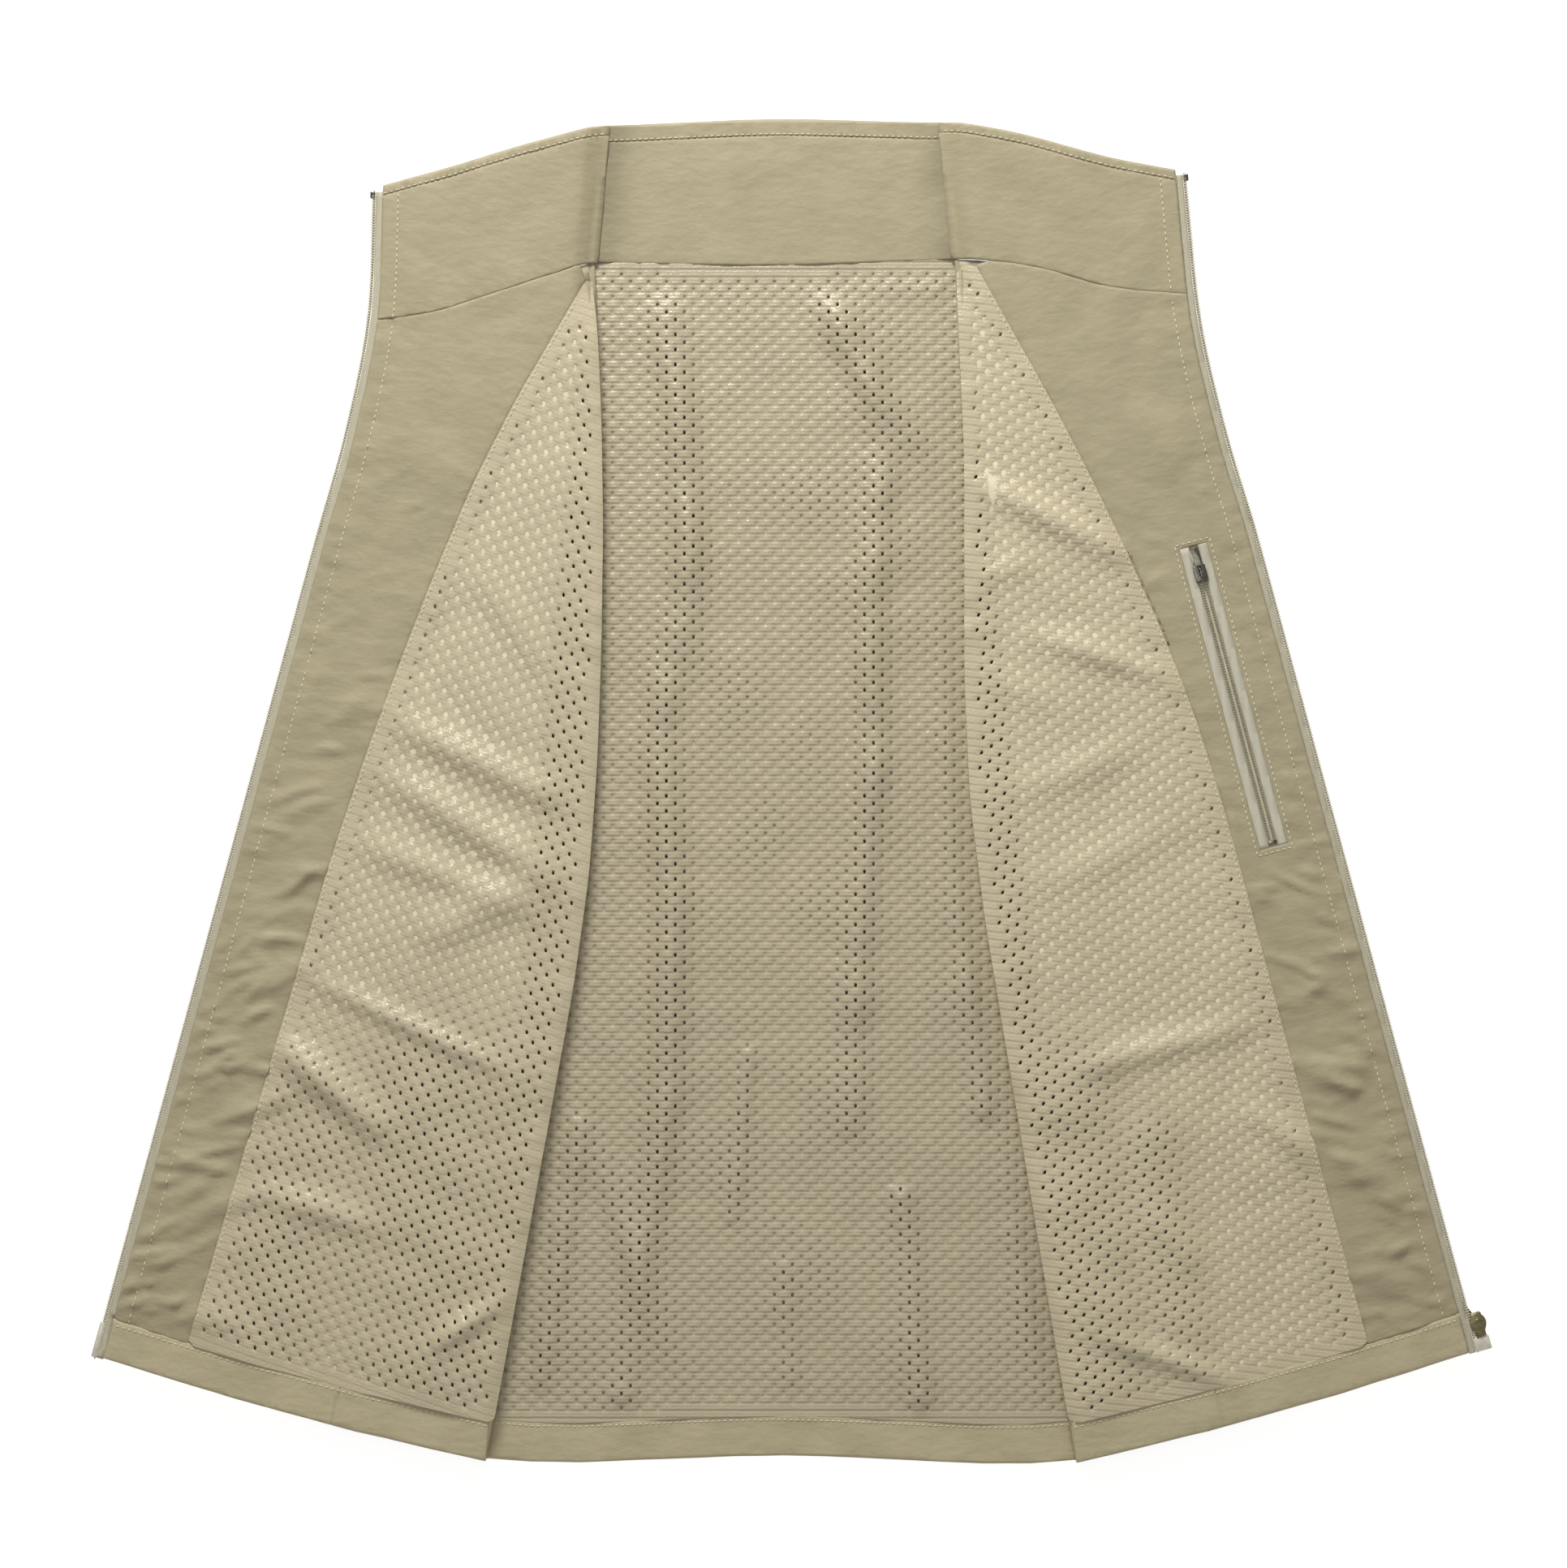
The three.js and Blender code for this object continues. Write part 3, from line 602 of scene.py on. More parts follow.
# %% Flat frames as places, and the outline of each plate
class Place:
    """A flat frame: a name, the body it rides on and the way to and from flat millimetres."""

    def __init__(self, name, body, to_flat, from_flat):
        self.name = name
        self.body = body
        self.to_flat = to_flat
        self.from_flat = from_flat

    def over_vest(self, points):
        """Millimetres over the vest of flat points."""
        turn = np.array(self.from_flat)
        flat = np.column_stack([points[:, 0], points[:, 1], np.zeros(len(points))])
        return (flat @ turn[:3, :3].T + turn[:3, 3])[:, :2] / MM


PLACES = {
    "left": Place("left", LEFT.body, LEFT.to_flat, LEFT.from_flat),
    "right": Place("right", RIGHT.body, RIGHT.to_flat, RIGHT.from_flat),
    "back": Place("back", "back", BACK_TO_FLAT, BACK_FROM_FLAT),
}
FRONTS = {"left": LEFT, "right": RIGHT}


def outline_of(cad_node, place):
    """The closed outline of a plate's top face, as an ordered loop of flat points."""
    bm = flat_top(cad_node, place.to_flat)
    start = next(e for e in bm.edges if e.is_boundary)
    loop, vert, edge = [start.verts[0].co.xy.copy()], start.verts[1], start
    while vert != start.verts[0]:
        loop.append(vert.co.xy.copy())
        edge = next(e for e in vert.link_edges if e.is_boundary and e != edge)
        vert = edge.other_vert(vert)
    bm.free()
    return np.array(loop)


def closed(loop):
    return np.vstack([loop, loop[:1]])


def inside(loop, points):
    """True where a point lies inside a closed loop."""
    found = np.zeros(len(points), bool)
    x, y = points[:, 0], points[:, 1]
    for (x0, y0), (x1, y1) in zip(loop, np.roll(loop, -1, 0)):
        if y0 != y1:
            crosses = (y0 > y) != (y1 > y)
            found ^= crosses & (x < (x1 - x0) * (y - y0) / (y1 - y0) + x0)
    return found


def nearest_point(loop, points):
    """The closest place on a closed loop to each point, and the direction out of it there."""
    best = np.full(len(points), 1e9)
    place = points[:, :2].copy()
    out = np.zeros_like(place)
    line = closed(loop)
    x, y = loop[:, 0], loop[:, 1]
    turning = math.copysign(1, float(np.sum(x * np.roll(y, -1) - y * np.roll(x, -1))))
    for a, b in zip(line[:-1], line[1:]):
        run = b - a
        t = np.clip(((points[:, :2] - a) @ run) / max(run @ run, 1e-9), 0, 1)
        foot = a + t[:, None] * run
        away = np.linalg.norm(points[:, :2] - foot, axis=1)
        closer = away < best
        best = np.where(closer, away, best)
        place[closer] = foot[closer]
        out[closer] = turning * np.array((run[1], -run[0])) / max(np.linalg.norm(run), 1e-9)
    return place, out


OUTLINES = {name: outline_of(name, PLACES[side]) for name, side in (
    ("left_facing", "left"), ("left_front_lining", "left"), ("right_facing", "right"),
    ("right_front_lining", "right"), ("back_lining", "back"), ("left_zip_tape", "left"),
    ("right_zip_tape", "right"), ("left_front_shell", "left"), ("right_front_shell", "right"),
    ("left_collar_facing", "left"), ("right_collar_facing", "right"),
    ("left_front_hem", "left"), ("right_front_hem", "right"), ("back_hem", "back"),
    ("back_collar_facing", "back"))}
print("outlines:", len(OUTLINES))

# %% Lines that stitches, seams and puckers follow
def fold_edge(side):
    """The fold's edge in the front's flat frame, from the neck to the hem."""
    roll = outline_of(f"{side}_fold_roll", PLACES[side])
    bulge = sorted((tuple(p) for p in roll if p[0] < -0.5), key=lambda p: -p[1])
    lining = OUTLINES[f"{side}_front_lining"]
    hem = OUTLINES[f"{side}_front_hem"]
    return np.array([(0.4, lining[:, 1].max())] + bulge + [(0.4, hem[:, 1].min())])


def smooth_line(points, step):
    """The same line through evenly spaced points, with rounded corners."""
    points = np.array(points, float)
    lengths = np.linalg.norm(np.diff(points, axis=0), axis=1)
    run = np.concatenate([[0], np.cumsum(lengths)])
    at = np.linspace(0, run[-1], max(3, int(run[-1] / step) + 1))
    line = np.column_stack([np.interp(at, run, points[:, i]) for i in range(points.shape[1])])
    for _ in range(12):
        line[1:-1] = (line[:-2] + 2 * line[1:-1] + line[2:]) / 4
    return line


FOLD_EDGES = {side: smooth_line(fold_edge(side), 4) for side in FRONTS}


def seam_line(side):
    """Where the facing meets the lining, from the neck to the hem."""
    lining = OUTLINES[f"{side}_front_lining"]
    foot = lining[:, 1].max()
    line = [p for p in lining if p[0] > 2 and p[1] <= foot and not near_hem(side, p)]
    return np.array(sorted(line, key=lambda p: -p[1]))


def near_hem(side, point):
    hem = closed(OUTLINES[f"{side}_front_hem"])
    away, _ = nearest_on(hem, np.array([point]))
    return away[0] < 1.5 and point[0] < OUTLINES[f"{side}_front_lining"][:, 0].max() - 1


def zip_line(side):
    """The tape's outer edge, where the coil sits, from the collar to the foot."""
    tape = OUTLINES[f"{side}_zip_tape"]
    top = max(range(len(tape)), key=lambda i: tape[i][1] + tape[i][0] * 0.1)
    foot = max(range(len(tape)), key=lambda i: tape[i][0] - tape[i][1] * 0.1)
    if top < foot:
        line = tape[top:foot + 1]
    else:
        line = tape[foot:top + 1][::-1]
    return line if len(line) > 4 else np.vstack([tape[top:], tape[:foot + 1]])


def offset_line(line, distance):
    """A line moved sideways, to its left as seen along it."""
    along = np.gradient(line[:, :2], axis=0)
    along /= np.linalg.norm(along, axis=1)[:, None]
    return line[:, :2] + distance * np.column_stack([-along[:, 1], along[:, 0]])


SEAMS = {side: smooth_line(seam_line(side), 4) for side in FRONTS}
for side in FRONTS:
    line = zip_line(side)
    if line[0][1] < line[-1][1]:
        line = line[::-1]
    OUTLINES[f"{side}_zip_edge"] = line
ZIP_EDGES = {side: smooth_line(OUTLINES[f"{side}_zip_edge"], 4) for side in FRONTS}
for side in FRONTS:
    print(side, "seam", SEAMS[side][[0, -1]].round(1).tolist(),
          "zip", ZIP_EDGES[side][[0, -1]].round(1).tolist())

# %% The window between the two folds, where the back lining shows
WINDOW = np.vstack([PLACES["left"].over_vest(FOLD_EDGES["left"]),
                    PLACES["right"].over_vest(FOLD_EDGES["right"])[::-1]])
SLIT = np.array([(114.8, -171.8), (143.0, -343.0)])
print("window:", WINDOW.min(0).round(0), WINDOW.max(0).round(0))


# %% How each part of the vest lies
def lie(side, points):
    """Height of a part's cloth over its flat place, in millimetres."""
    xy = PLACES[side].over_vest(points)
    total = np.zeros(len(points))
    for start, end, height, width in RIDGES[side]:
        total += fold(xy, start, end, 1.3 * height, width)
    total += np.abs(waves(xy, 46, 1.4, 3.1)) + waves(xy, 21, 0.35, 9.7)
    if side == "back":
        in_window = inside(WINDOW, xy)
        away, _ = nearest_on(closed(WINDOW), xy)
        return total * np.where(in_window, smooth_step(away, 0, 24), 0)
    from_zip, _ = nearest_on(ZIP_EDGES[side], points)
    total *= smooth_step(from_zip, 6, 30)
    if side == "right":
        from_slit, _ = nearest_on(SLIT, points)
        total *= smooth_step(from_slit, 10, 32)
    near_crease = np.exp(-((np.clip(points[:, 0], 0, None) / CREASE_WIDTH) ** 2))
    total *= 1 - near_crease * smooth_step(points[:, 1], -60, -15)
    total -= 7.6 * near_crease * smooth_step(points[:, 1], -46, -2)
    return total


def stand_off(side, points):
    """How far the loose lining stands off its shell, in millimetres."""
    xy = PLACES[side].over_vest(points)
    gap = np.zeros(len(points))
    for line, width, height in LOOSE[side]:
        away, _ = nearest_on(line, xy)
        gap = np.maximum(gap, height * np.exp(-((away / width) ** 2)))
    gap *= 0.75 + 0.6 * waves(xy, 30, 1.0, 4.4)
    if side == "back":
        in_window = inside(WINDOW, xy)
        away, _ = nearest_on(closed(WINDOW), xy)
        return LINING_GAP + np.where(in_window, gap * smooth_step(away, 2, 22), 0)
    for line, reach in ((SEAMS, SEAM_LOOSE_REACH), (FOLD_EDGES, FOLD_LOOSE_REACH)):
        away, _ = nearest_on(line[side], points)
        gap = np.maximum(gap, EDGE_LOOSE * np.exp(-((away / reach[side]) ** 2)))
    return LINING_GAP + gap


def billow(side, points):
    """The part of the stand-off that shows as a swelling of the lining, sewn down at the seam."""
    swelling = 0.55 * (stand_off(side, points) - LINING_GAP)
    if side == "back":
        return swelling
    from_seam, _ = nearest_on(SEAMS[side], points)
    return swelling * smooth_step(from_seam, 0.5, 9)


def painted_shade_under_lining(side, points):
    """Painted shade on the shell under the eyelets, stronger where the lining stands off."""
    return 1.6 * smooth_step(stand_off(side, points) - LINING_GAP, 0.6, 3.0)


# %% [markdown]
# ## Nylon pieces
# The shell, facings, collar, hem bands and pocket parts are all woven nylon, cut as the model's
# plates are. One function cuts, lifts, thickens and places each of them.

# %% One piece of nylon
BLEND_FROM = -3.0
BLEND_TO = 15.0
NYLON_THICKNESS = 0.8
KNIT_THICKNESS = 0.5
TAPE_THICKNESS = 0.6
BACK_BAND = 1.9
FRONT_BAND = 2.6
BINDING = 1.8
CARGO_THICKNESS = 1.6
SEAM_HALF_WIDTH = 0.7
SEAM_DEPTH = 0.7


def place_on(obj, place, across_fold=False):
    """Rides on the place's body, or, for a piece across a fold, only has its transform baked in."""
    if across_fold:
        front = FRONTS[place.name]
        front.point(BLEND_FROM, 0)
        front.point(BLEND_TO, 0)
        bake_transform(obj)
    else:
        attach(obj, place.body)


def cut_seams(bm, seams):
    """Cuts three close lines at each seam and presses the middle one in."""
    for start, end in seams:
        along = Vector((end[0] - start[0], end[1] - start[1], 0)).normalized()
        normal = Vector((-along.y, along.x, 0))
        for shift in (-SEAM_HALF_WIDTH, 0, SEAM_HALF_WIDTH):
            geom = bm.verts[:] + bm.edges[:] + bm.faces[:]
            place = Vector((start[0], start[1], 0)) + normal * shift
            bmesh.ops.bisect_plane(bm, geom=geom, dist=1e-4, plane_co=place, plane_no=normal)
        for vert in bm.verts:
            if abs((vert.co - Vector((start[0], start[1], vert.co.z))).dot(normal)) < 0.05:
                vert.co.z -= SEAM_DEPTH


def nylon_piece(cad_node, side, lift, step=5.0, thickness=NYLON_THICKNESS, finish=None,
                rim=(0.9, 0.3), across_fold=False,
                under=None, reach_over=0.0, painted_shade=None, seams=()):
    """A piece of woven cloth cut as a plate is. rim is the width and drop of its turned edge."""
    place = PLACES[side]
    bm = flat_top(cad_node, place.to_flat)
    if rim:
        bmesh.ops.inset_region(bm, faces=bm.faces[:], thickness=rim[0], use_boundary=True)
    slice_up(bm, step)
    add_pattern(bm)
    size, area = extent(bm), flat_area(bm)
    cut_seams(bm, seams)
    if rim:
        lower_rim(bm, rim[1])
    points = points_of(bm)
    points[:, 2] += lift(points)
    points[:, 0] -= np.where(points[:, 0] < 1.0, reach_over, 0)
    # Painted shade goes into a mesh attribute, which the nylon finish reads to darken the colour.
    if painted_shade:
        layer = bm.verts.layers.float.new(PAINTED_SHADE_ATTRIBUTE)
        for vert, depth in zip(bm.verts, painted_shade(points)):
            vert[layer] = depth
    set_points(bm, points)
    obj = finish_piece(bm, f"{cad_node}_cloth", place.from_flat, finish or NYLON_FINISH)
    thicken(obj, thickness, under)
    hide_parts(cad_node)
    place_on(obj, place, across_fold)


def still(points):
    return np.zeros(len(points))


def back_lift(points):
    return np.abs(waves(points, 60, 0.35, 2.2))


def crinkle(side, points, reach=1.0):
    """Fine creases of the nylon, denser towards the hem."""
    low = 0.35 + 0.65 * smooth_step(-points[:, 1], 60, 480)
    xy = PLACES[side].over_vest(points)
    fine = waves(xy, 7, 0.34, 1.3, (0.55, 1.25)) + waves(xy, 13, 0.6, 6.3, (0.5, 1.3))
    return reach * low * fine


# %% Shell of the back and the two side panels
def back_shell_lift(points):
    away, _ = nearest_on(closed(WINDOW), points)
    shown = inside(WINDOW, points) * smooth_step(away, 0, 16)
    return back_lift(points) + 0.7 * shown


# The back shell's coated side is darkened with painted shade where the lining stands off.
nylon_piece("back_shell", "back", back_shell_lift, step=9, rim=None, finish=BACK_COATED_SIDE,
            under=OUTER_NYLON, painted_shade=partial(painted_shade_under_lining, "back"))
for side in ("left", "right"):
    nylon_piece(f"{side}_side_shell", "back", back_lift, step=10)
    nylon_piece(f"{side}_side_lining", "back", back_lift, step=10, rim=None,
                finish=SMOOTH_KNIT, thickness=KNIT_THICKNESS)
print("shell of the back made")


# %% Facings and the fronts' shell
def across(line, v):
    """Where a line that runs up the front stands, across it, at height v."""
    order = np.argsort(line[:, 1])
    return float(np.interp(v, line[order, 1], line[order, 0]))


def short_creases(side):
    """Short soft creases across the facing, more of them towards the hem."""
    random = np.random.default_rng(7 if side == "left" else 11)
    creases = []
    for _ in range(120):
        v = -90 - 525 * random.random() ** 0.62
        share = random.random()
        seam, edge = across(SEAMS[side], v) + 3, across(ZIP_EDGES[side], v) - 8
        u = seam + share * (edge - seam)
        angle = -0.3 + random.normal(0, 0.38)
        half = 5 + 13 * random.random()
        step = np.array((math.cos(angle), math.sin(angle))) * half
        height = (0.3 + 1.5 * random.random() ** 1.5) * (0.45 + 1.0 * smooth_step(-v, 150, 480))
        creases.append(((u, v) - step, (u, v) + step, height, 1.3 + 1.7 * random.random()))
    return creases


def facing_lift(side):
    seam = SEAMS[side]
    creases = short_creases(side)

    def lift(points):
        pull = puckers(points, ZIP_EDGES[side], 0.55, 7, 5.0, 1.7)
        top_stitch = puckers(points, TOP_STITCH[side], 0.95, 6, 5.0, 2.9, groove=0.4)
        along_seam = puckers(points, seam, 0.6, 7, 8.0, 4.1, groove=0.5)
        creased = sum(fold(points, *crease) for crease in creases)
        if side == "right":
            from_slit, _ = nearest_on(SLIT, points)
            creased *= smooth_step(from_slit, 9, 16)
        surface = lie(side, points) + crinkle(side, points) + creased
        return surface + pull + top_stitch + along_seam

    return lift


TOP_STITCH_IN = 12.6


def inset_from_zip(side, distance):
    """A line inside the zip's edge, the same distance all along."""
    line = ZIP_EDGES[side]
    moved = offset_line(line, distance)
    return moved if moved[:, 0].mean() < line[:, 0].mean() else offset_line(line, -distance)


TOP_STITCH = {side: inset_from_zip(side, TOP_STITCH_IN) for side in FRONTS}


SHELL_FREE = 1.65
SHELL_SINK = 0.4


def shell_lift(side):
    """The shell fills out under the lining, and stays low where the lining stands off."""
    def lift(points):
        over = inside(OUTLINES[f"{side}_front_lining"], points)
        gap = stand_off(side, points) - LINING_GAP
        under_lining = billow(side, points) + SHELL_FREE - gap
        filled = np.clip(under_lining, -SHELL_SINK, SHELL_FREE)
        return lie(side, points) + np.where(over, filled, 0)

    return lift


for side in FRONTS:
    nylon_piece(f"{side}_facing", side, facing_lift(side), step=2.4)
    # The fronts' shells are darkened with painted shade where the lining stands off.
    nylon_piece(f"{side}_front_shell", side, shell_lift(side), step=6, rim=None,
                finish=COATED_SIDE, under=OUTER_NYLON, across_fold=True,
                painted_shade=partial(painted_shade_under_lining, side))
print("facings made")

# %% [markdown]
# ## Collar, hems and bindings
# The stand collar is one strip that turns at two creases, where the fronts fold open. Its wings
# dip into the creases. Hem and collar edges are turned bands, held by a line of stitches.

# %% Collar and hems
COLLAR_DIP = 7
CREASE_LEVEL = 12.2
COLLAR_TOP = 356
WING_REACH = 2.2
BAND_RIM = (1.0, 0.6)
EDGE_RIM = (1.2, 0.9)


def from_crease(side, points):
    """How far a point of the back stands from a front's fold line."""
    flat = np.array(FRONTS[side].to_flat)
    place = np.column_stack([points[:, :2], np.full(len(points), CREASE_LEVEL)]) * MM
    return np.abs(place @ flat[0, :3] + flat[0, 3])


def crease_painted_shade(points):
    """Painted shade: the collar's colour is darkened on the inner side of each pressed crease."""
    left = np.exp(-((from_crease("left", points) / 14) ** 2))
    right = 0.85 * np.exp(-((from_crease("right", points) / 11) ** 2))
    soft = 0.85 + 0.5 * waves(points, 26, 1.0, 12.4)
    return (left + right) * soft


def collar_back_lift(points):
    """Rises at both ends to meet the wings, with soft hollows."""
    rise = np.zeros(len(points))
    for side in FRONTS:
        rise += 1.4 * np.exp(-((from_crease(side, points) / COLLAR_DIP) ** 2))
    soft = np.abs(waves(points, 34, 1.1, 7.7)) + waves(points, 12, 0.22, 5.2)
    return rise + soft * smooth_step(COLLAR_TOP - points[:, 1], 0, 14)


def back_rim_lift(points):
    return collar_back_lift(points) + waves(points, 5, 0.5, 3.3, (1.6, 0.3))


def wing_rim_lift(side):
    def lift(points):
        return lie(side, points) + waves(points, 4.5, 0.5, 7.1, (1.6, 0.3))

    return lift


def wing_lift(side):
    def lift(points):
        soft = waves(points, 15, 0.35, 8.8) + waves(points, 7, 0.16, 2.8, (0.6, 1.4))
        return lie(side, points) + soft

    return lift


def band_lift(side):
    def lift(points):
        base = lie(side, points) if side != "back" else back_lift(points)
        dents = waves(points, 16, 0.9, 6.6, (0.6, 1.2)) + waves(points, 6, 0.22, 1.2)
        return base + dents

    return lift


HEM_SEAMS = {"left": ((-245.3, -334.4), (-249.8, -352.8)),
             "right": ((238.1, -333.5), (243.5, -353.3))}


def flat_of(side, x, y):
    """The flat point of a front that lies over a place on the vest, in millimetres."""
    point = PLACES[side].to_flat @ (Vector((x, y, CLOTH_LEVEL / MM)) * MM)
    return point.x, point.y


nylon_piece("back_collar_facing", "back", collar_back_lift, step=4,
            painted_shade=crease_painted_shade)
nylon_piece("back_collar_stand", "back", still, step=12, rim=None)
nylon_piece("back_collar_rim", "back", back_rim_lift, step=2.2, thickness=BACK_BAND,
            rim=EDGE_RIM, painted_shade=crease_painted_shade)
nylon_piece("back_hem", "back", band_lift("back"), step=4, thickness=BACK_BAND,
            rim=BAND_RIM, finish=HEM_NYLON)
for side in FRONTS:
    nylon_piece(f"{side}_collar_facing", side, wing_lift(side), step=4, across_fold=True,
                reach_over=WING_REACH)
    nylon_piece(f"{side}_collar_stand", side, partial(lie, side), step=10, rim=None,
                across_fold=True)
    nylon_piece(f"{side}_collar_rim", side, wing_rim_lift(side), step=2.2,
                thickness=FRONT_BAND, rim=EDGE_RIM, across_fold=True,
                reach_over=WING_REACH)
    nylon_piece(f"{side}_front_hem", side, band_lift(side), step=4, thickness=FRONT_BAND,
                rim=BAND_RIM, across_fold=True, finish=HEM_NYLON,
                seams=[[flat_of(side, *end) for end in HEM_SEAMS[side]]])
    nylon_piece(f"{side}_side_hem", "back", band_lift("back"), step=6, thickness=BACK_BAND,
                rim=BAND_RIM)
    for edge in ("back", "side"):
        nylon_piece(f"{side}_{edge}_armhole_binding", "back", back_lift, step=4,
                    thickness=BINDING, rim=EDGE_RIM)
    nylon_piece(f"{side}_cargo_pocket", "back", back_lift, step=8,
                thickness=CARGO_THICKNESS,
                rim=(2.0, 1.0))
    nylon_piece(f"{side}_cargo_flap", "back", back_lift, step=6)
print("collar, hems and bindings made")

# %% [markdown]
# ## Cutting the eyelets
# A slanted grid gives diamond cells in the knit's own staggered rows. Each cell gets an inset
# that is drawn in to a small diamond and removed, and one level of subdivision rounds it to an
# oval hole. The rim of each hole is pressed in a little, so its lower lip catches the light.

# %% Eyelet sheet
EYELET_HALF = (1.3, 1.75)
EYELET_INSET = 1.2
EYELET_FREE = 5.5
SPARE_CELLS = 6
SNAP_REACH = 3.4
RIM_PRESS = 0.5
KNIT_REACH = 0.7


def lattice(loop, tilt):
    """Diamond cells over a loop: every corner is a step half a pitch over and one row up."""
    size = np.ptp(loop, axis=0) + 30
    reach = float(np.hypot(*size))
    count = int(reach / EYELET_PITCH + reach / (2 * ROW_PITCH)) + 2
    bm = bmesh.new()
    bmesh.ops.create_grid(bm, x_segments=count, y_segments=count, size=count / 2)
    half = EYELET_PITCH / 2
    cell = Matrix(((half, half, 0), (ROW_PITCH, -ROW_PITCH, 0), (0, 0, 1)))
    middle = (loop.min(0) + loop.max(0)) / 2
    place = Matrix.Translation((*middle, 0)) @ Matrix.Rotation(tilt, 4, "Z") @ cell.to_4x4()
    bm.transform(place)
    return bm


def rounded(bm):
    """The same mesh after one level of subdivision."""
    mesh = bpy.data.meshes.new("rough_cells")
    bm.to_mesh(mesh)
    bm.free()
    obj = bpy.data.objects.new("rough_cells", mesh)
    scene.collection.objects.link(obj)
    subdivision = obj.modifiers.new("round", "SUBSURF")
    subdivision.levels = 1
    subdivision.render_levels = 1
    graph = bpy.context.evaluated_depsgraph_get()
    done = bpy.data.meshes.new_from_object(obj.evaluated_get(graph))
    smooth = bmesh.new()
    smooth.from_mesh(done)
    bpy.data.objects.remove(obj)
    bpy.data.meshes.remove(mesh)
    bpy.data.meshes.remove(done)
    return smooth


def eyelet_sheet(loop, tilt, lean, punched):
    """A flat sheet with the outline of loop and eyelets where punched(centres) is true."""
    bm = lattice(loop, tilt)
    centres = np.array([f.calc_center_median() for f in bm.faces])
    border = closed(loop)
    is_in = inside(loop, centres)
    away, _ = nearest_on(border, centres)
    far = [f for f, i, d in zip(bm.faces, is_in, away) if not i and d > SPARE_CELLS]
    pick = is_in & (away > EYELET_FREE) & punched(centres)
    holes = [f for f, p in zip(bm.faces, pick) if p]
    bmesh.ops.inset_individual(bm, faces=holes, thickness=EYELET_INSET)
    turn = Matrix.Rotation(tilt, 2)
    shape = turn @ Matrix(((EYELET_HALF[0], lean), (0, EYELET_HALF[1])))
    for face in holes:
        centre = face.calc_center_median().xy
        for vert in face.verts:
            side = turn.transposed() @ (vert.co.xy - centre)
            if abs(side.x) > abs(side.y):
                unit = Vector((math.copysign(1, side.x), 0))
            else:
                unit = Vector((0, math.copysign(1, side.y)))
            vert.co.xy = centre + shape @ unit
    bmesh.ops.delete(bm, geom=list({*far, *holes}), context="FACES")
    bm = rounded(bm)
    centres = np.array([f.calc_center_median() for f in bm.faces])
    is_in = inside(loop, centres)
    outside = [f for f, i in zip(bm.faces, is_in) if not i]
    bmesh.ops.delete(bm, geom=outside, context="FACES")
    points = points_of(bm)
    away, _ = nearest_on(border, points)
    spills = ~inside(loop, points)
    snapped, outwards = nearest_point(loop, points)
    for vert, d, spilt, place, out in zip(bm.verts, away, spills, snapped, outwards):
        if spilt or (vert.is_boundary and d < SNAP_REACH):
            vert.co.xy = place + out * KNIT_REACH
        elif vert.is_boundary:
            vert.co.z -= RIM_PRESS
    return bm


def knit_piece(name, cad_nodes, side, loop, tilt, lean, finish, punched, lift, across_fold):
    place = PLACES[side]
    bm = eyelet_sheet(loop, tilt, lean, punched)
    add_pattern(bm, turn=tilt, origin=(loop.min(0) + loop.max(0)) / 2)
    size, area = extent(bm), flat_area(bm)
    points = points_of(bm)
    points[:, 2] += lift(points)
    set_points(bm, points)
    obj = finish_piece(bm, name, place.from_flat, finish)
    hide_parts(*cad_nodes)
    place_on(obj, place, across_fold)
    print(name, len(obj.data.polygons), "faces")


# %% Back lining
LINING_TOP = 1.9


def back_lining_lift(points):
    edge = puckers(points, [(-105, 288), (95, 288)], 0.7, 6, 7.0, 8.2, groove=0.3)
    weave = waves(points, 5, 0.12, 3.9)
    raised = lie("back", points) * 0.8 + stand_off("back", points) - LINING_GAP
    return LINING_TOP + back_lift(points) + raised + edge + weave


def in_window(points):
    away, _ = nearest_on(closed(WINDOW), points)
    return inside(WINDOW, points) | (away < 10)


knit_piece("back_lining_knit", ["back_lining"], "back", OUTLINES["back_lining"], 0.0, 0.0,
           RIBBED_KNIT, in_window, back_lining_lift, False)

# %% Front linings
FOLD_ROUND = 4.6
EYELET_LEAN = 0.45
KNIT_TILT = {"left": math.radians(14), "right": math.radians(-12)}


def everywhere(points):
    return np.ones(len(points), bool)


def front_lining_loop(side):
    """The lining's outline, with its straight fold side moved out to the fold's edge."""
    lining = OUTLINES[f"{side}_front_lining"]
    hem = sorted((tuple(p) for p in lining if near_hem(side, p)), key=lambda p: p[0])
    corner = max(map(tuple, lining), key=lambda p: p[0])
    hem = [p for p in hem if p[0] > 3]
    edge = [p for p in FOLD_EDGES[side] if p[1] > lining[:, 1].min()]
    foot = [(0.4, lining[:, 1].min())]
    bottom = [p for p in hem if p[0] < corner[0] - 1] + [corner]
    seam = [p for p in SEAMS[side][::-1] if p[1] > corner[1] + 3 and p[1] < -6]
    return np.array([*edge, *foot, *bottom, *seam], float)


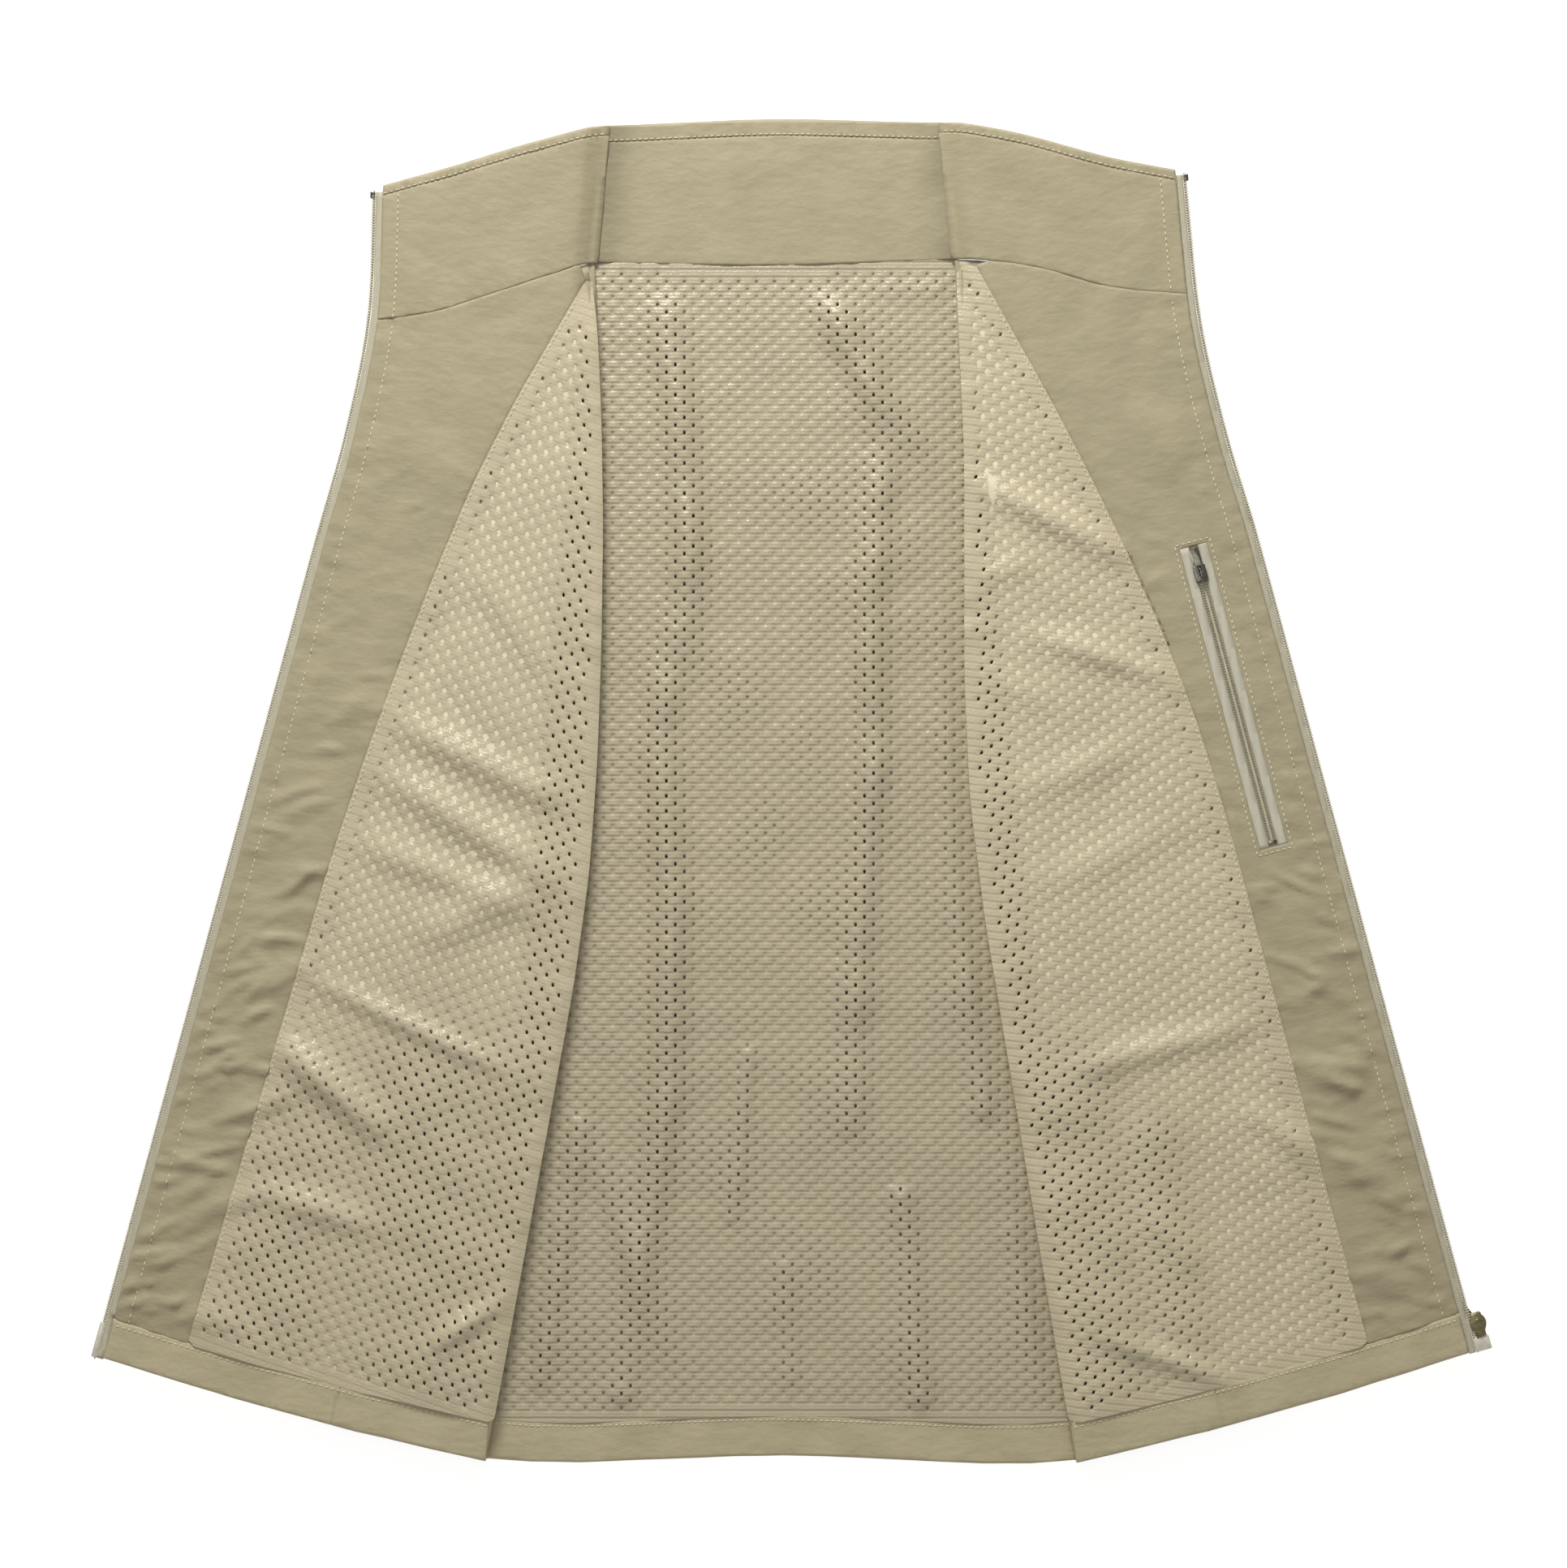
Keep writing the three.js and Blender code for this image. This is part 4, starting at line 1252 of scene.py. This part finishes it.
def front_lining_lift(side):
    def lift(points):
        away, _ = nearest_on(FOLD_EDGES[side], points)
        back_over = FOLD_ROUND - np.clip(away, 0, FOLD_ROUND)
        turn = FOLD_ROUND - np.sqrt(np.clip(FOLD_ROUND ** 2 - back_over ** 2, 0, None))
        seam = puckers(points, SEAMS[side], 0.6, 7, 8.0, 4.1, groove=0.3)
        edge = puckers(points, FOLD_EDGES[side], 0.8, 9, 10.0, 5.5)
        flat_fold = np.exp(-((away / 14) ** 2))
        from_seam, _ = nearest_on(SEAMS[side], points)
        lip = 0.3 * np.exp(-((from_seam / 2.5) ** 2))
        raised = lie(side, points) * (1 - 0.6 * flat_fold) + billow(side, points) + lip
        return raised + seam + edge - turn + waves(points, 5, 0.12, 3.9)

    return lift


for side, finish in (("left", SMOOTH_KNIT), ("right", SOFT_RIB_KNIT)):
    knit_piece(f"{side}_front_lining_knit", [f"{side}_front_lining"], side,
               front_lining_loop(side), KNIT_TILT[side], EYELET_LEAN, finish, everywhere,
               front_lining_lift(side), True)

# %% [markdown]
# ## The turn at each fold
# Where a front turns back over its side panel, the lining rolls round in a narrow half circle.
# It is one strip, made by extruding the fold's edge round the turn, from the top edge of the
# front's lining down to the side panel.

# %% Fold turns
TURN_GAP = 0.3
TURN_ANGLES = [math.radians(a) for a in range(55, -91, -12)]
TURN_FLOOR = -9.2


def fold_turn(side):
    place = PLACES[side]
    line = FOLD_EDGES[side]
    radius = FOLD_ROUND - TURN_GAP
    bm = bmesh.new()
    verts = [bm.verts.new((u, v, 0)) for u, v in line]
    edges = [bm.edges.new(pair) for pair in zip(verts[:-1], verts[1:])]

    def set_row(row, angle):
        for vert, (u, v) in zip(row, line):
            inward = radius * math.cos(angle)
            vert.co = (u + FOLD_ROUND - inward, v, radius * math.sin(angle) - FOLD_ROUND)

    set_row(verts, TURN_ANGLES[0])
    for angle in TURN_ANGLES[1:]:
        made = bmesh.ops.extrude_edge_only(bm, edges=edges)
        edges = [g for g in made["geom"] if isinstance(g, bmesh.types.BMEdge)]
        row = [g for g in made["geom"] if isinstance(g, bmesh.types.BMVert)]
        row.sort(key=lambda v: -v.co.y)
        set_row(row, angle)
    bmesh.ops.recalc_face_normals(bm, faces=bm.faces[:])
    add_pattern(bm)
    ripple = puckers(points_of(bm), line, 0.5, 9, 10.0, 5.5)
    points = points_of(bm)
    points[:, 2] = np.maximum(points[:, 2] + ripple, TURN_FLOOR)
    set_points(bm, points)
    obj = finish_piece(bm, f"{side}_fold_turn", place.from_flat, SMOOTH_KNIT)
    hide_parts(f"{side}_fold_roll")
    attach(obj, "back")


for side in FRONTS:
    fold_turn(side)

# %% [markdown]
# ## Stitches
# A lockstitch shows as a row of short thread grains, each lying a little in the cloth. Each
# grain is one small sphere, drawn out along its line and set at the cloth's own height there.

# %% Thread and rows of stitches
def thread_finish():
    finish = new_finish("sewing_thread", THREAD, 0.6, sheen=0.2)
    twist = node(finish, "TexWave", {"Vector": object_point(finish), "Scale": 1400.0})
    connect(finish, "Normal", bump(finish, twist.outputs["Fac"], 0.3, 0.00005))
    return finish


THREAD_FINISH = thread_finish()
STITCH = 2.6
STITCH_GAP = 0.75
THREAD_WIDTH = 0.72
THREAD_HEIGHT = 0.7
IN_CLOTH = 0.12


def evenly(line, step):
    """Points and directions at even steps along a line."""
    line = np.array(line, float)[:, :2]
    lengths = np.linalg.norm(np.diff(line, axis=0), axis=1)
    run = np.concatenate([[0], np.cumsum(lengths)])
    at = np.arange(step / 2, run[-1], step)
    points = np.column_stack([np.interp(at, run, line[:, i]) for i in (0, 1)])
    ahead = np.column_stack([np.interp(at + 0.5, run, line[:, i]) for i in (0, 1)])
    behind = np.column_stack([np.interp(at - 0.5, run, line[:, i]) for i in (0, 1)])
    heading = np.arctan2(*(ahead - behind).T[::-1])
    return points, heading


def grains(bm, points, heading, heights, size, slant=0.0):
    """Adds a small drawn-out sphere at each point."""
    length, width, thickness = size
    shape = Matrix.Diagonal((length / 2, width / 2, thickness / 2, 1))
    for (u, v), angle, height in zip(points, heading, heights):
        turn = Matrix.Rotation(angle + slant, 4, "Z")
        place = Matrix.Translation((u, v, height)) @ turn @ shape
        bmesh.ops.create_icosphere(bm, subdivisions=1, radius=1, matrix=place)


def stitch_row(name, side, lines, lift, level, across_fold=False):
    place = PLACES[side]
    bm = bmesh.new()
    for line in lines:
        points, heading = evenly(line, STITCH + STITCH_GAP)
        flat = np.column_stack([points, np.zeros(len(points))])
        heights = level + lift(flat)
        grains(bm, points, heading, heights, (STITCH, THREAD_WIDTH, THREAD_HEIGHT))
    obj = finish_piece(bm, name, place.from_flat, THREAD_FINISH)
    place_on(obj, place, across_fold)


def raised_line(outline, direction, low, high):
    """The points of an outline on its lower or upper side, between two places across it."""
    line = sorted((tuple(p) for p in outline), key=lambda p: p[0])
    ends = [p for p in line if low <= p[0] <= high]
    fit = np.polyfit([p[0] for p in line], [p[1] for p in line], 2)
    keep = [p for p in ends if (p[1] - np.polyval(fit, p[0])) * direction > 0]
    return np.array(keep)


for side in FRONTS:
    row = TOP_STITCH[side]
    collar_foot = OUTLINES[f"{side}_collar_facing"][:, 1].min()
    hem_top = OUTLINES[f"{side}_front_hem"][:, 1].max()
    facing_part = row[(row[:, 1] < collar_foot - 1) & (row[:, 1] > hem_top - 2)]
    wing_part = row[row[:, 1] > collar_foot + 1.5]
    stitch_row(f"{side}_zip_stitches", side, [facing_part], facing_lift(side), IN_CLOTH)
    seam_part = SEAMS[side][(SEAMS[side][:, 1] < -20) & (SEAMS[side][:, 1] > hem_top + 4)]
    seam_row = min((offset_line(seam_part, d) for d in (-0.9, 0.9)), key=lambda p: p[:, 0].mean())
    stitch_row(f"{side}_seam_stitches", side, [seam_row], front_lining_lift(side), 0.2, True)
    stitch_row(f"{side}_wing_stitches", side, [wing_part], wing_lift(side), IN_CLOTH)
    rim = outline_of(f"{side}_collar_rim", PLACES[side])
    lower = raised_line(rim, -1, 0, 200) + np.array((0, 1.0))
    stitch_row(f"{side}_rim_stitches", side, [lower], partial(lie, side), 0.25, True)
    hem = raised_line(OUTLINES[f"{side}_front_hem"], 1, 0, 300) - np.array((0, 2.6))
    stitch_row(f"{side}_hem_stitches", side, [hem], band_lift(side), IN_CLOTH, True)
back_rim = raised_line(outline_of("back_collar_rim", PLACES["back"]), -1, -200, 200)
stitch_row("back_rim_stitches", "back", [back_rim + np.array((0, 1.0))], collar_back_lift, 2.15)
back_hem_line = raised_line(OUTLINES["back_hem"], 1, -170, 168) - np.array((0, 2.4))
stitch_row("back_hem_stitches", "back", [back_hem_line], band_lift("back"), 2.05)
slit_run = (SLIT[1] - SLIT[0]) / np.linalg.norm(SLIT[1] - SLIT[0])
slit_out = np.array((-slit_run[1], slit_run[0]))
PAST_END = 2
BESIDE_SLIT = 10
below, beside = PAST_END * slit_run, BESIDE_SLIT * slit_out
corners = [SLIT[0] - below + beside, SLIT[1] + below + beside,
           SLIT[1] + below - beside, SLIT[0] - below - beside]
sides = [np.array([a, b]) for a, b in zip(corners, corners[1:] + corners[:1])]
stitch_row("pocket_slit_stitches", "right", sides, facing_lift("right"), IN_CLOTH)
print("stitches made")

# %% [markdown]
# ## Zips
# A coil zip is a nylon coil sewn along a woven tape. Seen from the inside, its loops look like
# a fine comb with a chain of thread beside it, over a cord that fills the loops. Each loop,
# chain stitch and short length of cord is one grain. The cord is darker than the front zip's
# loops, as painted shade between them.

# %% Tape and coil finishes
def tape_finish(name, color):
    finish = new_finish(name, color, 0.75, sheen=0.25)
    point = pattern_point(finish)
    rib = node(finish, "TexWave", {"Vector": point, "Scale": 4.4, "Distortion": 1.5},
               bands_direction="DIAGONAL")
    cross = node(finish, "TexWave", {"Vector": point, "Scale": 9.0}, bands_direction="Y")
    height = maths(finish, "ADD", rib.outputs["Fac"], cross.outputs["Fac"])
    connect(finish, "Base Color", tint(finish, height, shade(color, 0.86), shade(color, 1.08),
                                       0.2, 1.0))
    connect(finish, "Normal", bump(finish, height, 0.6, 0.00022))
    return finish


def coil_finish(name, color):
    finish = new_finish(name, color, 0.38, specular=0.5)
    drift = cloud(finish, object_point(finish), 260, 2)
    connect(finish, "Base Color", tint(finish, drift, shade(color, 0.88), shade(color, 1.08)))
    return finish


TAPE = tape_finish("zip_tape_yarn", TAPE_YARN)
POCKET_TAPE = tape_finish("pocket_tape_yarn", POCKET_YARN)
COIL = coil_finish("zip_coil_nylon", COIL_NYLON)
# The pocket zip's own darker coil; on the front zip's cord it is painted shade between loops.
POCKET_COIL_AND_PAINTED_SHADE = coil_finish("pocket_coil_nylon", shade(COIL_NYLON, 0.6))
COIL_PITCH = 1.45
COIL_OUT = 1.25
FRONT_COIL = (2.7, 1.8)
POCKET_COIL_SIZE = (1.8, 1.4)


def top_level(cad_node, place):
    bm = flat_top(cad_node, place.to_flat)
    level = max(v.co.z for v in bm.verts)
    bm.free()
    return level


def coil(cad_node, side, line, towards_tape, width, thickness, finish, slot, chain_finish):
    """A comb of loops along a line, the cord inside them, and a chain of thread over them."""
    place = PLACES[side]
    level = top_level(cad_node, place) - thickness / 2
    bm = bmesh.new()
    points, heading = evenly(line, COIL_PITCH)
    across = heading + math.pi / 2
    heights = np.full(len(points), level)
    grains(bm, points, across, heights, (width, COIL_PITCH * 0.7, thickness), 0.16)
    comb = finish_piece(bm, f"{cad_node}_loops", place.from_flat, finish)
    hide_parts(cad_node)
    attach(comb, place.body)
    bm = bmesh.new()
    inside_loops = offset_line(np.column_stack([points, heights]), towards_tape * width * 0.12)
    grains(bm, inside_loops, heading, heights - thickness * 0.12,
           (COIL_PITCH * 3, width * 0.62, thickness * 0.6))
    # The cord is real, but its darker finish on the front zip is painted shade between the loops.
    cord = finish_piece(bm, f"{cad_node}_filler_cord", place.from_flat, POCKET_COIL_AND_PAINTED_SHADE)
    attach(cord, place.body)
    bm = bmesh.new()
    chain = offset_line(np.column_stack([points, heights]), towards_tape * width * 0.3)
    grains(bm, chain, heading, heights + thickness * 0.42, (COIL_PITCH * 1.3, 0.5, 0.5), 0.6)
    thread = finish_piece(bm, f"{cad_node}_chain", place.from_flat, chain_finish)
    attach(thread, place.body)


for side in FRONTS:
    nylon_piece(f"{side}_zip_tape", side, still, step=4, thickness=TAPE_THICKNESS,
                finish=TAPE, rim=None)
    line = ZIP_EDGES[side]
    outwards = offset_line(line, COIL_OUT)
    if outwards[:, 0].mean() < line[:, 0].mean():
        outwards = offset_line(line, -COIL_OUT)
        towards = 1
    else:
        towards = -1
    coil(f"{side}_zip_teeth", side, outwards, towards, *FRONT_COIL, COIL, "zip_coil",
         THREAD_FINISH)
for row, towards in (("inner", 1), ("outer", -1)):
    nylon_piece(f"pocket_tape_{row}", "right", still, step=4, thickness=TAPE_THICKNESS,
                finish=POCKET_TAPE, rim=None)
    teeth = outline_of(f"pocket_teeth_{row}", PLACES["right"])
    order = teeth[np.argsort(teeth[:, 1])]
    foot, head = order[:2].mean(0), order[-2:].mean(0)
    line = np.linspace(head, foot, 40)
    coil(f"pocket_teeth_{row}", "right", line, towards, *POCKET_COIL_SIZE, POCKET_COIL_AND_PAINTED_SHADE,
         "pocket_coil", POCKET_COIL_AND_PAINTED_SHADE)
nylon_piece("pocket_bag", "right", still, step=10, thickness=TAPE_THICKNESS, rim=None,
            finish=nylon("pocketing_nylon", shade(NYLON, 1.05)))
print("zips made")

# %% [markdown]
# ## Fittings
# Sliders, pulls and stops are small castings, and the box and pin at the zip's foot are resin.
# Each is a copy of its plain solid, with its loose triangles merged and its edges rounded. The
# plated metal has faint patches of wear.

# %% Metal finishes and rounded castings
def plated(name, color, roughness):
    finish = new_finish(name, color, roughness, metallic=1.0)
    wear = cloud(finish, object_point(finish), 420, 4)
    connect(finish, "Base Color", tint(finish, wear, shade(color, 0.7), shade(color, 1.2)))
    rough = cloud(finish, object_point(finish), 900, 2)
    connect(finish, "Normal", bump(finish, rough, 0.25, 0.0001))
    return finish


BRONZE = plated("olive_bronze", linear(152, 141, 108), 0.32)
NICKEL = plated("dark_nickel", linear(124, 120, 110), 0.2)
FITTING = coil_finish("zip_fitting_resin", linear(216, 210, 192))
SHARP_EDGE = 0.6


def casting(cad_node, body, finish, rounding, narrow=1.0, slack=0.0):
    """A rounded copy of a solid, narrowed across the zip and turned about its hinge."""
    bm = bmesh.new()
    bm.from_mesh(frame["nodes"][cad_node].data)
    low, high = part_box(cad_node)
    zip_run = hinges["front_slider"]["axis"]
    along_zip = Matrix.Rotation(-math.atan2(zip_run[0], zip_run[1]), 4, "Z")
    about = Matrix.Translation((low + high) / 2) @ along_zip
    bm.transform(about @ Matrix.Diagonal((narrow, 1, 1, 1)) @ about.inverted())
    if slack:
        hinge = Matrix.Translation(Vector(hinges[body]["pos_m"]))
        bm.transform(hinge @ Matrix.Rotation(slack, 4, "Z") @ hinge.inverted())
    bmesh.ops.remove_doubles(bm, verts=bm.verts, dist=1e-6)
    bmesh.ops.dissolve_limit(bm, angle_limit=0.02, verts=bm.verts, edges=bm.edges)
    sharp = [e for e in bm.edges if len(e.link_faces) == 2 and e.calc_face_angle(0) > SHARP_EDGE]
    bmesh.ops.bevel(bm, geom=sharp, affect="EDGES", offset=rounding * MM, segments=2,
                    profile=0.5, material=-1, clamp_overlap=True)
    obj = finish_piece(bm, f"{cad_node}_casting", Matrix.Identity(4), finish)
    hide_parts(cad_node)
    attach(obj, body)


PULL_SLACK = math.radians(24)
casting("front_slider", "front_slider", BRONZE, 0.3, narrow=0.6)
casting("front_pull", "front_pull", BRONZE, 0.2, narrow=0.7, slack=PULL_SLACK)


def teardrop_plate():
    """The slider's inner plate: broad and round at the top, narrower at its foot, dimpled."""
    width, length, thickness = 9.6, 13.6, 0.9
    low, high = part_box("front_slider")
    top = PLACES["right"].to_flat @ Vector(((low.x + high.x) / 2, (low.y + high.y) / 2, high.z))
    run = PLACES["right"].to_flat.to_3x3() @ Vector(hinges["front_slider"]["axis"])
    turn = Matrix.Rotation(math.atan2(-run.x, run.y), 4, "Z")
    bm = bmesh.new()
    bmesh.ops.create_circle(bm, cap_ends=True, segments=32, radius=1)
    for vert in bm.verts:
        taper = 0.6 + 0.4 * float(smooth_step(vert.co.y, -0.95, 0.35))
        vert.co.x *= taper * width / 2
        vert.co.y *= length / 2
    made = bmesh.ops.extrude_face_region(bm, geom=bm.faces[:])
    for vert in (g for g in made["geom"] if isinstance(g, bmesh.types.BMVert)):
        vert.co.z -= thickness
    bmesh.ops.recalc_face_normals(bm, faces=bm.faces[:])
    sharp = [e for e in bm.edges if e.calc_face_angle(0) > 0.9]
    bmesh.ops.bevel(bm, geom=sharp, affect="EDGES", offset=0.3, segments=3, profile=0.5,
                    material=-1, clamp_overlap=True)
    rim = Matrix.Translation((0, 2.6, 0.02)) @ Matrix.Diagonal((1.5, 1.0, 0.28, 1))
    bmesh.ops.create_uvsphere(bm, u_segments=16, v_segments=8, radius=1, matrix=rim)
    bm.transform(Matrix.Translation((top.x, top.y, top.z + 0.15)) @ turn)
    plate = finish_piece(bm, "front_slider_plate", PLACES["right"].from_flat, BRONZE)
    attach(plate, "front_slider")


teardrop_plate()
casting("pocket_slider", "pocket_slider", NICKEL, 0.2)
casting("pocket_pull", "pocket_pull", NICKEL, 0.2)
casting("right_zip_box", "right_front", FITTING, 0.5)
casting("left_zip_pin", "left_front", FITTING, 0.4)
for side in FRONTS:
    casting(f"{side}_zip_top_stop", f"{side}_front", NICKEL, 0.3)
for stop in ("pocket_top_stop", "pocket_foot_stop"):
    casting(stop, "right_front", NICKEL, 0.2)
print("fittings made")
